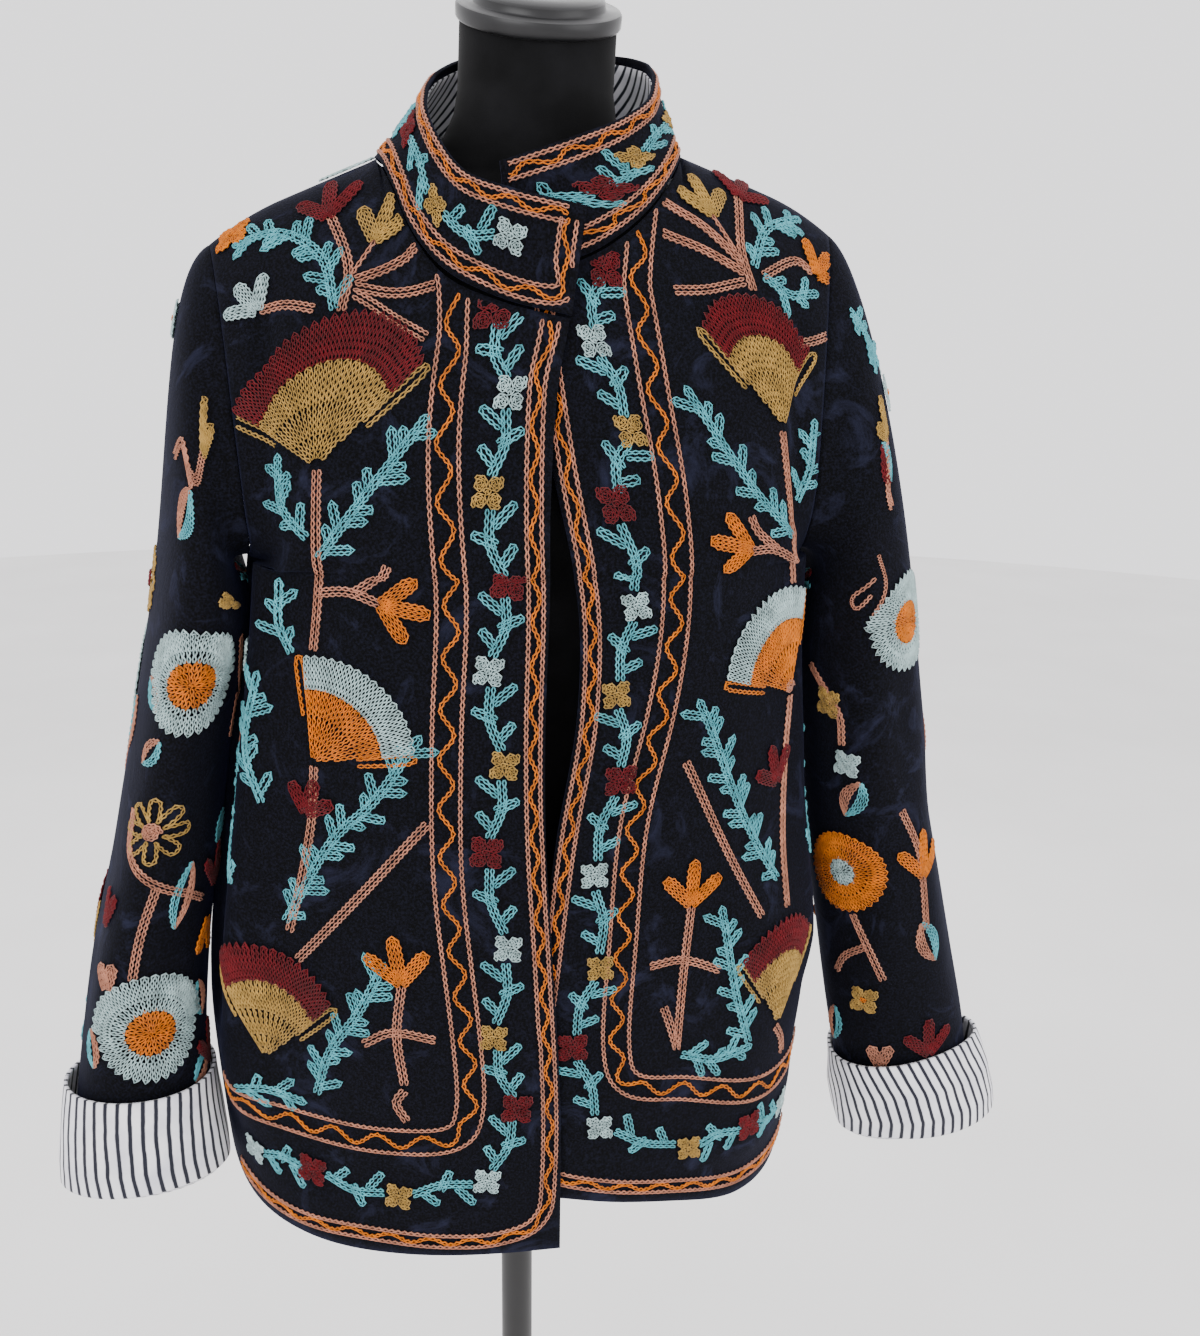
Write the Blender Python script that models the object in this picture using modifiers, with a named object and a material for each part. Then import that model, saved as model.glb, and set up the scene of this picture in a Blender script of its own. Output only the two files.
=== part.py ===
"""Black velvet jacket with a stand collar and turned-up striped cuffs, on a limbless dress form.

The jacket is cut as two fronts, a back, two sleeves, two cuffs and a collar with its lining.
Each piece is a thin wall over a surface that is worked out from the garment's sizes.
Units are metres, +Z is up, the fronts face -Y and the form's base stands on z = 0.
The wearer's right is at -X, and the wearer's right front laps over the left one.
"""

import math

import bmesh
import bpy
import numpy as np

# Cloth
CLOTH = 0.0024
CUFF_CLOTH = 0.0028
LINING_CLOTH = 0.0011
SEAM_GAP = 0.0003
ARMHOLE_GAP = 0.0012
SEAM_START = 0.90
RIGHT, LEFT = -1.0, 1.0

# Torso sections, from the lowest hem point up to the armpit
TORSO_NAMES = ("height", "half_width", "front_depth", "back_depth", "middle")
TORSO = (
    (0.680, 0.2000, 0.1345, 0.1300, -0.003),
    (0.760, 0.2090, 0.1340, 0.1290, -0.0015),
    (0.850, 0.2150, 0.1335, 0.1270, 0.001),
    (0.990, 0.1970, 0.1315, 0.1220, 0.002),
    (1.100, 0.1835, 0.1310, 0.1170, 0.0055),
    (1.140, 0.1810, 0.1300, 0.1150, 0.008),
)
SECTION_POWER = 2.4
ARMPIT_Z = 1.140

# Shoulder line, a rounded ridge that falls away on both sides of the neck
SHOULDER_TOP = 1.4186
SHOULDER_MIDDLE = 0.009
SHOULDER_FALL = 0.40
SHOULDER_TILT = 0.0436
SHOULDER_ROUND = 0.030
SHOULDER_DROP_START = 0.150
SHOULDER_DROP = 4.0

# Upper body, from the armpit (0) over the shoulder (1)
FRONT_RISE, FRONT_FADE = 1.7, 0.8
BACK_RISE, BACK_FADE = 1.0, 0.6
ARMHOLE_NAMES = ("climb", "half_width")
ARMHOLE = ((0.0, 0.1810), (0.06, 0.1760), (0.12, 0.1735), (0.22, 0.1740), (0.45, 0.1790), (0.75, 0.1870), (1.0, 0.1940))
ARMHOLE_DEPTH = 0.60
ARMHOLE_TURN = 0.32

# Hem heights across each panel, from its centre (0) to the side seam (1)
HEM_NAMES = ("across", "right", "left", "back")
HEM = (
    (0.00, 0.6900, 0.7300, 0.7180),
    (0.25, 0.6925, 0.7120, 0.7190),
    (0.50, 0.6970, 0.6940, 0.7220),
    (0.75, 0.7100, 0.6980, 0.7280),
    (1.00, 0.7440, 0.7300, 0.7370),
)
HEM_SIDE_Z = {RIGHT: 0.7440, LEFT: 0.7300}

# Centre edges of the fronts by height: where each one stops, across X
EDGE_NAMES = ("height", "right", "left")
CENTRE_EDGE = (
    (0.690, 0.0150, -0.0150),
    (0.800, 0.0145, -0.0100),
    (0.900, 0.0090, 0.0020),
    (0.980, 0.0045, 0.0120),
    (1.060, 0.0040, 0.0240),
    (1.120, 0.0060, 0.0240),
    (1.180, 0.0072, 0.0130),
    (1.240, 0.0114, 0.0010),
    (1.310, 0.0220, -0.0110),
)
UNDERLAP_DEPTH = 0.0050
UNDERLAP_WIDTH = 0.070

# Neck seam as x, y, z, from each front's centre edge to the shoulder, then round the back
NECK_RIGHT = (
    (0.0205, -0.1000, 1.2840),
    (-0.0190, -0.0970, 1.2930),
    (-0.0480, -0.0866, 1.3058),
    (-0.0660, -0.0730, 1.3290),
    (-0.0745, -0.0565, 1.3510),
    (-0.0810, -0.0375, 1.3665),
    (-0.0855, 0.0000, 1.3752),
)
NECK_LEFT = (
    (-0.0110, -0.0930, 1.3050),
    (0.0380, -0.0858, 1.3205),
    (0.0660, -0.0733, 1.3400),
    (0.0845, -0.0563, 1.3605),
    (0.0955, -0.0365, 1.3760),
    (0.1015, 0.0000, 1.3838),
)
NECK_BACK = (
    (-0.0855, 0.0000, 1.3752),
    (-0.0810, 0.0265, 1.3758),
    (-0.0720, 0.0370, 1.3775),
    (-0.0350, 0.0583, 1.3815),
    (0.0110, 0.0643, 1.3865),
    (0.0560, 0.0580, 1.3845),
    (0.0900, 0.0386, 1.3838),
    (0.0975, 0.0275, 1.3838),
    (0.1015, 0.0000, 1.3838),
)

# Folds in the fronts and the back: panel, line from s, t to s, t, width, and height (- a trough)
FOLDS = (
    ("front_right", 0.70, 1.35, 0.66, 0.10, 0.030, 0.009),
    ("front_right", 0.86, 1.20, 0.84, 0.25, 0.034, -0.010),
    ("front_right", 0.80, 1.70, 0.92, 1.18, 0.022, -0.009),
    ("front_right", 0.40, 0.75, 0.44, 0.05, 0.045, -0.004),
    ("front_left", 0.72, 1.30, 0.76, 0.30, 0.032, 0.006),
    ("front_left", 0.82, 1.65, 0.90, 1.15, 0.026, -0.008),
    ("front_left", 0.50, 0.60, 0.46, 0.04, 0.045, 0.005),
    ("front_left", 0.90, 0.80, 0.86, 0.10, 0.035, -0.006),
    ("back", 0.35, 0.90, 0.40, 0.05, 0.045, 0.006),
    ("back", 0.64, 0.95, 0.60, 0.05, 0.050, 0.007),
    ("back", 0.50, 0.70, 0.50, 0.05, 0.040, -0.006),
    ("back", 0.14, 1.45, 0.12, 0.30, 0.030, -0.008),
    ("back", 0.87, 1.45, 0.88, 0.30, 0.030, -0.008),
)
PANEL_WIDTH, PANEL_HEIGHT = 0.30, 0.42
FOLD_TOP, FOLD_FOOT = 0.3, 0.1
FOLD_SIDE_FADE, FOLD_TOP_FADE = 0.30, 0.35

# Sleeves below the armhole: outer and inner outline, from the upper arm down to the cuff's fold
SLEEVE_NAMES = ("height", "outer", "inner", "middle_y", "half_depth", "yaw")
SLEEVE = {
    RIGHT: (
        (1.100, 0.2400, 0.1762, -0.004, 0.088, 10.0),
        (1.030, 0.2540, 0.1892, -0.006, 0.082, 10.0),
        (0.950, 0.2710, 0.2000, -0.012, 0.074, 9.0),
        (0.870, 0.2890, 0.2116, -0.026, 0.062, 7.0),
        (0.800, 0.2970, 0.2150, -0.048, 0.048, 5.0),
        (0.735, 0.2990, 0.2090, -0.064, 0.036, 5.0),
    ),
    LEFT: (
        (1.100, 0.2760, 0.1930, -0.004, 0.084, 6.0),
        (1.030, 0.2880, 0.2010, -0.006, 0.079, 6.0),
        (0.950, 0.3030, 0.2120, -0.008, 0.070, 6.0),
        (0.870, 0.3210, 0.2260, -0.014, 0.058, 5.0),
        (0.790, 0.3380, 0.2380, -0.022, 0.045, 3.0),
        (0.695, 0.3520, 0.2560, -0.030, 0.034, 0.0),
    ),
}
SLEEVE_TILT = {RIGHT: 1.0, LEFT: 9.0}
SLEEVE_LEAN = {RIGHT: 8.0, LEFT: 8.0}
CAP_OUT = 0.034
CAP_DROP = 0.58
CAP_PULL = 0.100
UNDERARM_OUT = 0.020
UNDERARM_PULL = 0.022

# Creases of the sleeves: side, degrees round from the outer side by way of the front,
# top and bottom height, width in degrees, and height (- a trough)
CREASES = (
    (RIGHT, 60.0, 1.20, 0.80, 22.0, 0.0040),
    (RIGHT, 118.0, 1.12, 0.86, 20.0, -0.0050),
    (RIGHT, 20.0, 1.00, 0.76, 24.0, -0.0035),
    (RIGHT, 235.0, 1.12, 0.80, 26.0, -0.0050),
    (RIGHT, 300.0, 1.18, 0.84, 26.0, 0.0040),
    (LEFT, 70.0, 1.22, 0.92, 22.0, -0.0050),
    (LEFT, 112.0, 1.10, 0.80, 22.0, 0.0045),
    (LEFT, 28.0, 1.02, 0.76, 24.0, -0.0035),
    (LEFT, 240.0, 1.12, 0.82, 26.0, -0.0050),
    (LEFT, 300.0, 1.18, 0.84, 26.0, 0.0040),
)

# Cuffs: height above the fold and stand-off from the sleeve, up the turned-up band
CUFF_NAMES = ("height", "right", "left")
CUFF = (
    (-0.0030, 0.0000, 0.0000),
    (-0.0036, 0.0030, 0.0030),
    (0.0000, 0.0068, 0.0068),
    (0.0140, 0.0078, 0.0095),
    (0.0360, 0.0076, 0.0100),
    (0.0620, 0.0066, 0.0070),
)
CUFF_SAG = {RIGHT: 0.004, LEFT: 0.013}
CUFF_WAVE = {RIGHT: 0.0012, LEFT: 0.0032}

# Collar: x, y, z of its seam and of its top edge, from the lapped tab end round the neck
COLLAR = (
    (0.0215, -0.1020, 1.2846, 0.0300, -0.0985, 1.3430),
    (-0.0190, -0.0992, 1.2937, -0.0140, -0.0950, 1.3520),
    (-0.0484, -0.0886, 1.3082, -0.0370, -0.0780, 1.3620),
    (-0.0663, -0.0735, 1.3299, -0.0490, -0.0590, 1.3790),
    (-0.0748, -0.0569, 1.3520, -0.0560, -0.0370, 1.3990),
    (-0.0812, -0.0378, 1.3675, -0.0550, -0.0180, 1.4110),
    (-0.0856, 0.0000, 1.3762, -0.0510, 0.0020, 1.4220),
    (-0.0811, 0.0267, 1.3768, -0.0455, 0.0170, 1.4300),
    (-0.0722, 0.0374, 1.3785, -0.0370, 0.0310, 1.4370),
    (-0.0350, 0.0586, 1.3825, -0.0120, 0.0500, 1.4460),
    (0.0110, 0.0646, 1.3875, 0.0180, 0.0580, 1.4500),
    (0.0560, 0.0583, 1.3855, 0.0520, 0.0530, 1.4500),
    (0.0902, 0.0389, 1.3848, 0.0780, 0.0330, 1.4460),
    (0.0976, 0.0277, 1.3848, 0.0830, 0.0170, 1.4410),
    (0.1016, 0.0000, 1.3848, 0.0850, 0.0000, 1.4340),
    (0.0957, -0.0367, 1.3770, 0.0825, -0.0220, 1.4230),
    (0.0847, -0.0566, 1.3615, 0.0750, -0.0440, 1.4090),
    (0.0662, -0.0736, 1.3410, 0.0540, -0.0660, 1.3940),
    (0.0380, -0.0850, 1.3213, 0.0270, -0.0800, 1.3820),
    (-0.0100, -0.0882, 1.3060, -0.0170, -0.0850, 1.3660),
)
COLLAR_BOW = -0.0015
COLLAR_LIFT = 0.0013
COLLAR_ROWS = (0.0, 0.15, 0.43, 0.72, 1.0)
LINING_GAP = 0.0008

# Dress form: sections from its flat underside up to the slanted neck top
FORM_NAMES = ("height", "half_width", "front_depth", "back_depth", "middle_x", "middle_y", "power")
FORM = (
    (0.7750, 0.1600, 0.0980, 0.1000, 0.003, 0.000, 2.2),
    (0.8600, 0.1630, 0.1000, 0.1030, 0.004, 0.000, 2.2),
    (0.9800, 0.1320, 0.0880, 0.0870, 0.006, 0.000, 2.2),
    (1.0800, 0.1400, 0.0980, 0.0880, 0.007, 0.000, 2.2),
    (1.1800, 0.1480, 0.1060, 0.0900, 0.008, 0.000, 2.2),
    (1.2600, 0.1480, 0.0900, 0.0840, 0.008, 0.000, 2.1),
    (1.3150, 0.1500, 0.0680, 0.0720, 0.008, 0.000, 1.7),
)
# Its shoulders, kept under the jacket's shoulder line: height, front and back depth, power
FORM_SHOULDER = (
    (1.3320, 0.0600, 0.0640, 1.45),
    (1.3450, 0.0540, 0.0580, 1.28),
    (1.3560, 0.0450, 0.0520, 1.18),
)
FORM_SHOULDER_GAP = 0.0030
FORM_SHOULDER_REACH = 0.150
FORM_NECK = (
    (1.3680, 0.0860, 0.0430, 0.0480, 0.0100, 0.000, 1.3),
    (1.3780, 0.0660, 0.0440, 0.0450, 0.0110, 0.000, 1.6),
    (1.3900, 0.0560, 0.0460, 0.0450, 0.0118, 0.001, 1.9),
    (1.4040, 0.0500, 0.0480, 0.0450, 0.0125, 0.002, 2.0),
    (1.4180, 0.0478, 0.0480, 0.0440, 0.0130, 0.003, 2.0),
)
NECK_TOP_CENTRE = (0.0140, -0.0020, 1.4560)
NECK_TOP_RADIUS = 0.0475
NECK_SLANT = math.radians(24.0)

# Neck cap, pole and base
CAP_RADIUS = 0.0500
CAP_STEP_RADIUS = 0.0400
CAP_RIM_HEIGHT = 0.0100
CAP_STEP_HEIGHT = 0.0060
POLE_RADIUS = 0.0120
FLANGE_RADIUS = 0.0350
FLANGE_HEIGHT = 0.0080
BASE_RADIUS = 0.1650
BASE_THICKNESS = 0.0080
BASE_BOSS_RADIUS = 0.0300
BASE_BOSS_HEIGHT = 0.0350
BASE_EDGE = 0.0030
BASE_BOSS_SLOPE = 0.012

# How finely each wall is divided
NECK_COLUMNS, SHOULDER_COLUMNS = 8, 8
NECK_SAMPLES = 240
LOW_ROWS = 13
CLIMBS = (0.10, 0.19, 0.29, 0.40, 0.51, 0.62, 0.73, 0.83, 0.92, 1.0)
SLEEVE_COLUMNS = 30
SLEEVE_CAP_ROWS, SLEEVE_ARM_ROWS = 7, 11
COLLAR_COLUMNS = 46
FORM_COLUMNS = 28
ROUND_STEPS = 40

# Colours, roughness and metal of each finish
VELVET = ("velvet", (0.012, 0.012, 0.018), 0.95, 0.0)
STRIPED_COTTON = ("striped cotton", (0.78, 0.77, 0.79), 0.90, 0.0)
FORM_VELVET = ("form cover", (0.008, 0.008, 0.009), 0.95, 0.0)
DARK_METAL = ("dark metal", (0.06, 0.06, 0.065), 0.45, 0.8)
BLACK_METAL = ("black metal", (0.02, 0.02, 0.02), 0.40, 0.6)


def smooth_rows(knots, values, at):
    """Smooth cubic through the values at the knots, read at the given places."""
    knots, values = np.asarray(knots, float), np.asarray(values, float)
    slopes = np.gradient(values, knots)
    place = np.clip(at, knots[0], knots[-1])
    row = np.clip(np.searchsorted(knots, place, side="right") - 1, 0, len(knots) - 2)
    span = knots[row + 1] - knots[row]
    f = (place - knots[row]) / span
    start = (1 + 2 * f) * (1 - f) ** 2 * values[row] + f * (1 - f) ** 2 * span * slopes[row]
    end = f * f * (3 - 2 * f) * values[row + 1] + f * f * (f - 1) * span * slopes[row + 1]
    return start + end


def column(table, names, name, at):
    """One named column of a table whose first column rises or falls, read at the given places."""
    rows = sorted(table, key=lambda entry: entry[0])
    return smooth_rows([row[0] for row in rows], [row[names.index(name)] for row in rows], at)


def along(points, share):
    """Points at the given shares of the way along a smooth line through the listed points."""
    points = np.asarray(points, float)
    steps = np.linalg.norm(np.diff(points[:, :3], axis=0), axis=1)
    reach = np.concatenate([[0.0], np.cumsum(steps)]) / steps.sum()
    return np.stack([smooth_rows(reach, points[:, k], share) for k in range(points.shape[1])], axis=-1)


def signed_power(value, power):
    """Power of the size of a value, with the value's own sign."""
    return np.sign(value) * np.abs(value) ** power


def ease(value):
    """Smooth step from 0 to 1."""
    f = np.clip(value, 0.0, 1.0)
    return f * f * (3 - 2 * f)


def shoulder_height(x):
    """Height of the shoulder line over any point across the body."""
    across = x - SHOULDER_MIDDLE
    slope = SHOULDER_FALL * np.hypot(across, SHOULDER_ROUND) - SHOULDER_TILT * across
    drop = SHOULDER_DROP * np.maximum(np.abs(across) - SHOULDER_DROP_START, 0.0) ** 2
    return SHOULDER_TOP - slope - drop


def armhole_reach(climb):
    """Share of the body's depth at which the armhole runs, round at the armpit."""
    turn = 1 - np.clip(climb / ARMHOLE_TURN, 0.0, 1.0)
    return ARMHOLE_DEPTH * np.sqrt(np.clip(1 - turn * turn, 0.0, 1.0))


def end_angle(climb):
    """Angle round the section at which the armhole cuts it, a right angle at the armpit."""
    return np.arccos(np.clip(armhole_reach(climb), 0.0, 1.0) ** (SECTION_POWER / 2))


def centre_angle(side, height, half_width, middle):
    """Angle round the section of a front's centre edge."""
    edge = column(CENTRE_EDGE, EDGE_NAMES, "right" if side == RIGHT else "left", height)
    return np.arcsin(signed_power(side * (edge - middle) / half_width, SECTION_POWER / 2))


def low_body(side, face, s, rise):
    """Body between hem (rise 0) and armpit (rise 1): x by sine, y by cosine of a superellipse."""
    hem_name = "back" if face > 0 else ("right" if side == RIGHT else "left")
    hem = column(HEM, HEM_NAMES, hem_name, s)
    if face > 0:
        hem = hem + (HEM_SIDE_Z[side] - HEM[-1][3]) * ease(s)
    height = hem + (ARMPIT_Z - hem) * rise
    half_width = column(TORSO, TORSO_NAMES, "half_width", height)
    depth = column(TORSO, TORSO_NAMES, "back_depth" if face > 0 else "front_depth", height)
    middle = column(TORSO, TORSO_NAMES, "middle", height)
    start = 0.0 if face > 0 else centre_angle(side, height, half_width, middle)
    angle = start + (math.pi / 2 - start) * s
    x = middle + side * half_width * signed_power(np.sin(angle), 2 / SECTION_POWER)
    y = face * depth * np.abs(np.cos(angle)) ** (2 / SECTION_POWER)
    return np.stack([x, y, height], axis=-1)


def high_body(side, face, s, climb):
    """Body between armpit (climb 0) and shoulder line (climb 1), closing towards y = 0."""
    power = 2 / SECTION_POWER
    rise_power, fade_power = (BACK_RISE, BACK_FADE) if face > 0 else (FRONT_RISE, FRONT_FADE)
    rise = np.sin(climb * math.pi / 2) ** rise_power
    fade = np.clip(np.cos(climb * math.pi / 2), 0.0, 1.0) ** fade_power
    depth = TORSO[-1][TORSO_NAMES.index("back_depth" if face > 0 else "front_depth")]
    middle = TORSO[-1][TORSO_NAMES.index("middle")]
    half_width = column(ARMHOLE, ARMHOLE_NAMES, "half_width", climb)
    last = end_angle(climb)
    centre_z = ARMPIT_Z + (shoulder_height(middle) - ARMPIT_Z) * rise
    start = 0.0 if face > 0 else centre_angle(side, centre_z, half_width, middle)
    angle = start + (last - start) * s
    x = middle + side * half_width * signed_power(np.sin(angle) / np.sin(last), power)
    y = face * depth * fade * np.abs(np.cos(angle)) ** power
    z = ARMPIT_Z + (shoulder_height(x) - ARMPIT_Z) * rise
    return np.stack([x, y, z], axis=-1)


def neck_share(side, face):
    """Share of the panel's top edge that the neckline takes, found by halving."""
    neck_x = (NECK_RIGHT if side == RIGHT else NECK_LEFT)[-1][0]
    low, high = 0.0, 1.0
    for _ in range(40):
        half = (low + high) / 2
        reach = high_body(side, face, np.array([half]), np.array([1.0]))[0, 0]
        low, high = (half, high) if side * (reach - neck_x) < 0 else (low, half)
    return (low + high) / 2


def neckline(side, face, share):
    """Neckline points of a panel, from its centre (0) to the shoulder (1)."""
    if face < 0:
        return along(NECK_RIGHT if side == RIGHT else NECK_LEFT, share)
    return along(NECK_BACK, 0.5 + side * share / 2)


def share_across(side, face, s):
    """Share of the neckline that lies as far across the body as each column's own top."""
    own = side * high_body(side, face, s, np.ones_like(s))[..., 0]
    shares = np.linspace(0.0, 1.0, NECK_SAMPLES)
    return np.interp(own, side * neckline(side, face, shares)[:, 0], shares)


def climb_to(side, face, s, height):
    """Climb at which each column of the upper body reaches a height, found by halving."""
    low, high = np.zeros_like(s), np.ones_like(s)
    for _ in range(40):
        half = (low + high) / 2
        under = high_body(side, face, s, half)[..., 2] < height
        low, high = np.where(under, half, low), np.where(under, high, half)
    return (low + high) / 2


def panel_points(side, face, s, t):
    """Half of the body: s from the centre to the side, t from hem (0) by armpit (1) to top (2)."""
    low = low_body(side, face, s, np.clip(t, 0.0, 1.0))
    climb = np.clip(t - 1, 0.0, 1.0)
    edge = neck_share(side, face)
    share = share_across(side, face, s)
    target = neckline(side, face, share)
    stop = np.where(s < edge, climb_to(side, face, s, target[..., 2]), 1.0)
    high = high_body(side, face, s, climb * stop)
    miss = target - high_body(side, face, s, stop)
    near = (ease((climb - 0.25) / 0.75) * (s <= edge))[..., None]
    high = high + miss * near
    return np.where((t <= 1.0)[..., None], low, high)


def grid_normals(points):
    """Unit normals of a grid of points, by differences between neighbours."""
    down = np.gradient(points, axis=0)
    over = np.gradient(points, axis=1)
    normal = np.cross(over, down)
    return normal / np.linalg.norm(normal, axis=-1, keepdims=True)


def fold_height(panel, s, t):
    """Height of a panel's folds: each a bell across its line, fading at both ends."""
    height = np.zeros_like(s)
    for name, s0, t0, s1, t1, width, size in FOLDS:
        if name != panel:
            continue
        run = np.array([(s1 - s0) * PANEL_WIDTH, (t1 - t0) * PANEL_HEIGHT])
        length = np.hypot(*run)
        dx, dy = (s - s0) * PANEL_WIDTH, (t - t0) * PANEL_HEIGHT
        along_line = (dx * run[0] + dy * run[1]) / length
        off_line = (dx * run[1] - dy * run[0]) / length
        ends = ease(along_line / (FOLD_TOP * length)) * ease((length - along_line) / (FOLD_FOOT * length))
        height = height + size * ends * np.exp(-((off_line / width) ** 2))
    return height


def fold_room(s, t):
    """Share of its height that a fold keeps near the side seam and the shoulder."""
    return ease((1 - s) / FOLD_SIDE_FADE) * ease((2 - t) / FOLD_TOP_FADE)


def panel_columns(side, face):
    """Places of the columns, with one exactly at the neck point."""
    edge = neck_share(side, face)
    places = np.linspace(0.0, edge, NECK_SAMPLES)
    neck = np.interp(np.linspace(0.0, 1.0, NECK_COLUMNS), share_across(side, face, places), places)
    neck[-1] = edge
    shoulder = np.linspace(edge, 1.0, SHOULDER_COLUMNS + 1)[1:]
    return np.concatenate([neck, shoulder])


def panel_rows():
    """Places of the rows, close together at the rounded armpit and shoulder."""
    low = np.linspace(0.0, 1.0, LOW_ROWS + 1)
    return np.concatenate([low, 1 + np.array(CLIMBS)])


def seam_share(s, t):
    """Each panel's own share of the gap at its side seam and its shoulder seam."""
    farthest = np.maximum(s, t - 1)
    near = ease((farthest - SEAM_START) / (1 - SEAM_START))
    return SEAM_GAP * (0.5 + near)


def front_grid(side):
    """Outer points of one front, with its folds and the left front's underlap."""
    s, t = np.meshgrid(panel_columns(side, -1.0), panel_rows())
    points = panel_points(side, -1.0, s, t)
    normal = grid_normals(points) * side
    name = "front_right" if side == RIGHT else "front_left"
    points = points + normal * (fold_height(name, s, t) * fold_room(s, t))[..., None]
    if side == LEFT:
        edge = points[:, :1, 0]
        under = UNDERLAP_DEPTH * ease(1 - (points[..., 0] - edge) / UNDERLAP_WIDTH)
        points[..., 1] += under
    points[..., 1] -= seam_share(s, t)
    return points


def back_grid():
    """Outer points of the back, from the wearer's right side seam to the left one."""
    t_rows = panel_rows()
    halves = []
    for side in (RIGHT, LEFT):
        s, t = np.meshgrid(panel_columns(side, 1.0), t_rows)
        half = panel_points(side, 1.0, s, t)
        halves.append((half[:, ::-1], 0.5 - s[:, ::-1] / 2) if side == RIGHT
                      else (half[:, 1:], 0.5 + s[:, 1:] / 2))
    points = np.concatenate([half for half, _ in halves], axis=1)
    across = np.concatenate([place for _, place in halves], axis=1)
    t = np.repeat(t_rows[:, None], points.shape[1], axis=1)
    side_share = np.abs(across - 0.5) * 2
    normal = -grid_normals(points)
    room = fold_room(side_share, t)
    points = points + normal * (fold_height("back", across, t) * room)[..., None]
    points[..., 1] += seam_share(side_share, t)
    return points


def sleeve_ring(side, angle, height):
    """Ring of the hanging sleeve: an ellipse between its outer and inner outline, slightly yawed."""
    rows = SLEEVE[side]
    outer = column(rows, SLEEVE_NAMES, "outer", height)
    inner = column(rows, SLEEVE_NAMES, "inner", height)
    depth = column(rows, SLEEVE_NAMES, "half_depth", height)
    yaw = np.radians(column(rows, SLEEVE_NAMES, "yaw", height))
    reach = (outer - inner) / 2
    half_width = np.sqrt(np.maximum(reach ** 2 - (depth * np.sin(yaw)) ** 2, 0.0)) / np.cos(yaw)
    tilt = math.radians(SLEEVE_TILT[side])
    cosine, sine = np.cos(angle), np.sin(angle)
    out = half_width * cosine * np.cos(yaw) - depth * sine * np.sin(yaw)
    x = side * ((outer + inner) / 2 + out)
    y = column(rows, SLEEVE_NAMES, "middle_y", height) - half_width * cosine * np.sin(yaw)
    y = y - depth * sine * np.cos(yaw)
    lean = math.radians(SLEEVE_LEAN[side]) * ease((rows[0][0] - height) / 0.25)
    z = height + np.tan(tilt) * out + np.tan(lean) * depth * sine
    return np.stack([x, y, z], axis=-1)


def armhole_ring(side, angle):
    """Armhole loop: down the front's edge from the shoulder to the armpit, up the back's edge."""
    climb = 1 - np.sin(np.minimum(angle, 2 * math.pi - angle) / 2)
    edge = np.ones_like(angle)
    front = high_body(side, -1.0, edge, climb)
    back = high_body(side, 1.0, edge, climb)
    return np.where((angle <= math.pi)[..., None], front, back)


def sleeve_points(side, angle, station):
    """Sleeve: station -1 to 0 curves from the armhole over the cap, 0 to 1 hangs down the arm."""
    heights = [row[0] for row in SLEEVE[side]]
    height = heights[0] + (heights[-1] - heights[0]) * np.clip(station, 0.0, 1.0)
    hanging = sleeve_ring(side, angle, height)
    start = armhole_ring(side, angle)
    end = sleeve_ring(side, angle, np.full_like(angle, heights[0]))
    below = sleeve_ring(side, angle, np.full_like(angle, heights[0] - 0.02))
    top_share = ((1 + np.cos(angle)) / 2)[..., None]
    lead_out = np.stack([np.full_like(angle, side), 0 * angle, -CAP_DROP * top_share[..., 0]], -1)
    lead_out = lead_out / np.linalg.norm(lead_out, axis=-1, keepdims=True)
    lead_in = (end - below) / np.linalg.norm(end - below, axis=-1, keepdims=True)
    first = start + lead_out * (UNDERARM_OUT + (CAP_OUT - UNDERARM_OUT) * top_share)
    second = end + lead_in * (UNDERARM_PULL + (CAP_PULL - UNDERARM_PULL) * top_share)
    f = np.clip(station + 1, 0.0, 1.0)[..., None]
    curve = start * (1 - f) ** 3 + 3 * first * f * (1 - f) ** 2 + 3 * second * f * f * (1 - f)
    curve = curve + end * f ** 3
    return np.where((station < 0)[..., None], curve, hanging)


def crease_height(side, angle, height):
    """Height of a sleeve's creases: a bell round the arm, fading along it."""
    total = np.zeros_like(angle)
    for crease_side, middle, top, bottom, width, size in CREASES:
        if crease_side != side:
            continue
        turn = (np.degrees(angle) - middle + 180) % 360 - 180
        ends = ease((top - height) / 0.08) * ease((height - bottom) / 0.08)
        total = total + size * ends * np.exp(-((turn / width) ** 2))
    return total


def sleeve_grid(side):
    """Outer points of one sleeve, ring by ring from the armhole to the cuff's fold."""
    angles = np.linspace(0.0, 2 * math.pi, SLEEVE_COLUMNS, endpoint=False)
    cap = np.linspace(-1.0, 0.0, SLEEVE_CAP_ROWS + 1)
    arm = np.linspace(0.0, 1.0, SLEEVE_ARM_ROWS + 1)[1:]
    angle, station = np.meshgrid(angles, np.concatenate([cap, arm]))
    points = sleeve_points(side, angle, station)
    middle = points.mean(axis=1, keepdims=True)
    away = points - middle
    away[..., 2] = 0.0
    away = away / np.maximum(np.linalg.norm(away, axis=-1, keepdims=True), 1e-6)
    free = ease((station + 1) / 0.4) * ease((1 - station) / 0.1)
    points = points + away * (crease_height(side, angle, points[..., 2]) * free)[..., None]
    points[..., 0] += side * ARMHOLE_GAP * ease((-0.7 - station) / 0.3)
    return points


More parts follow.
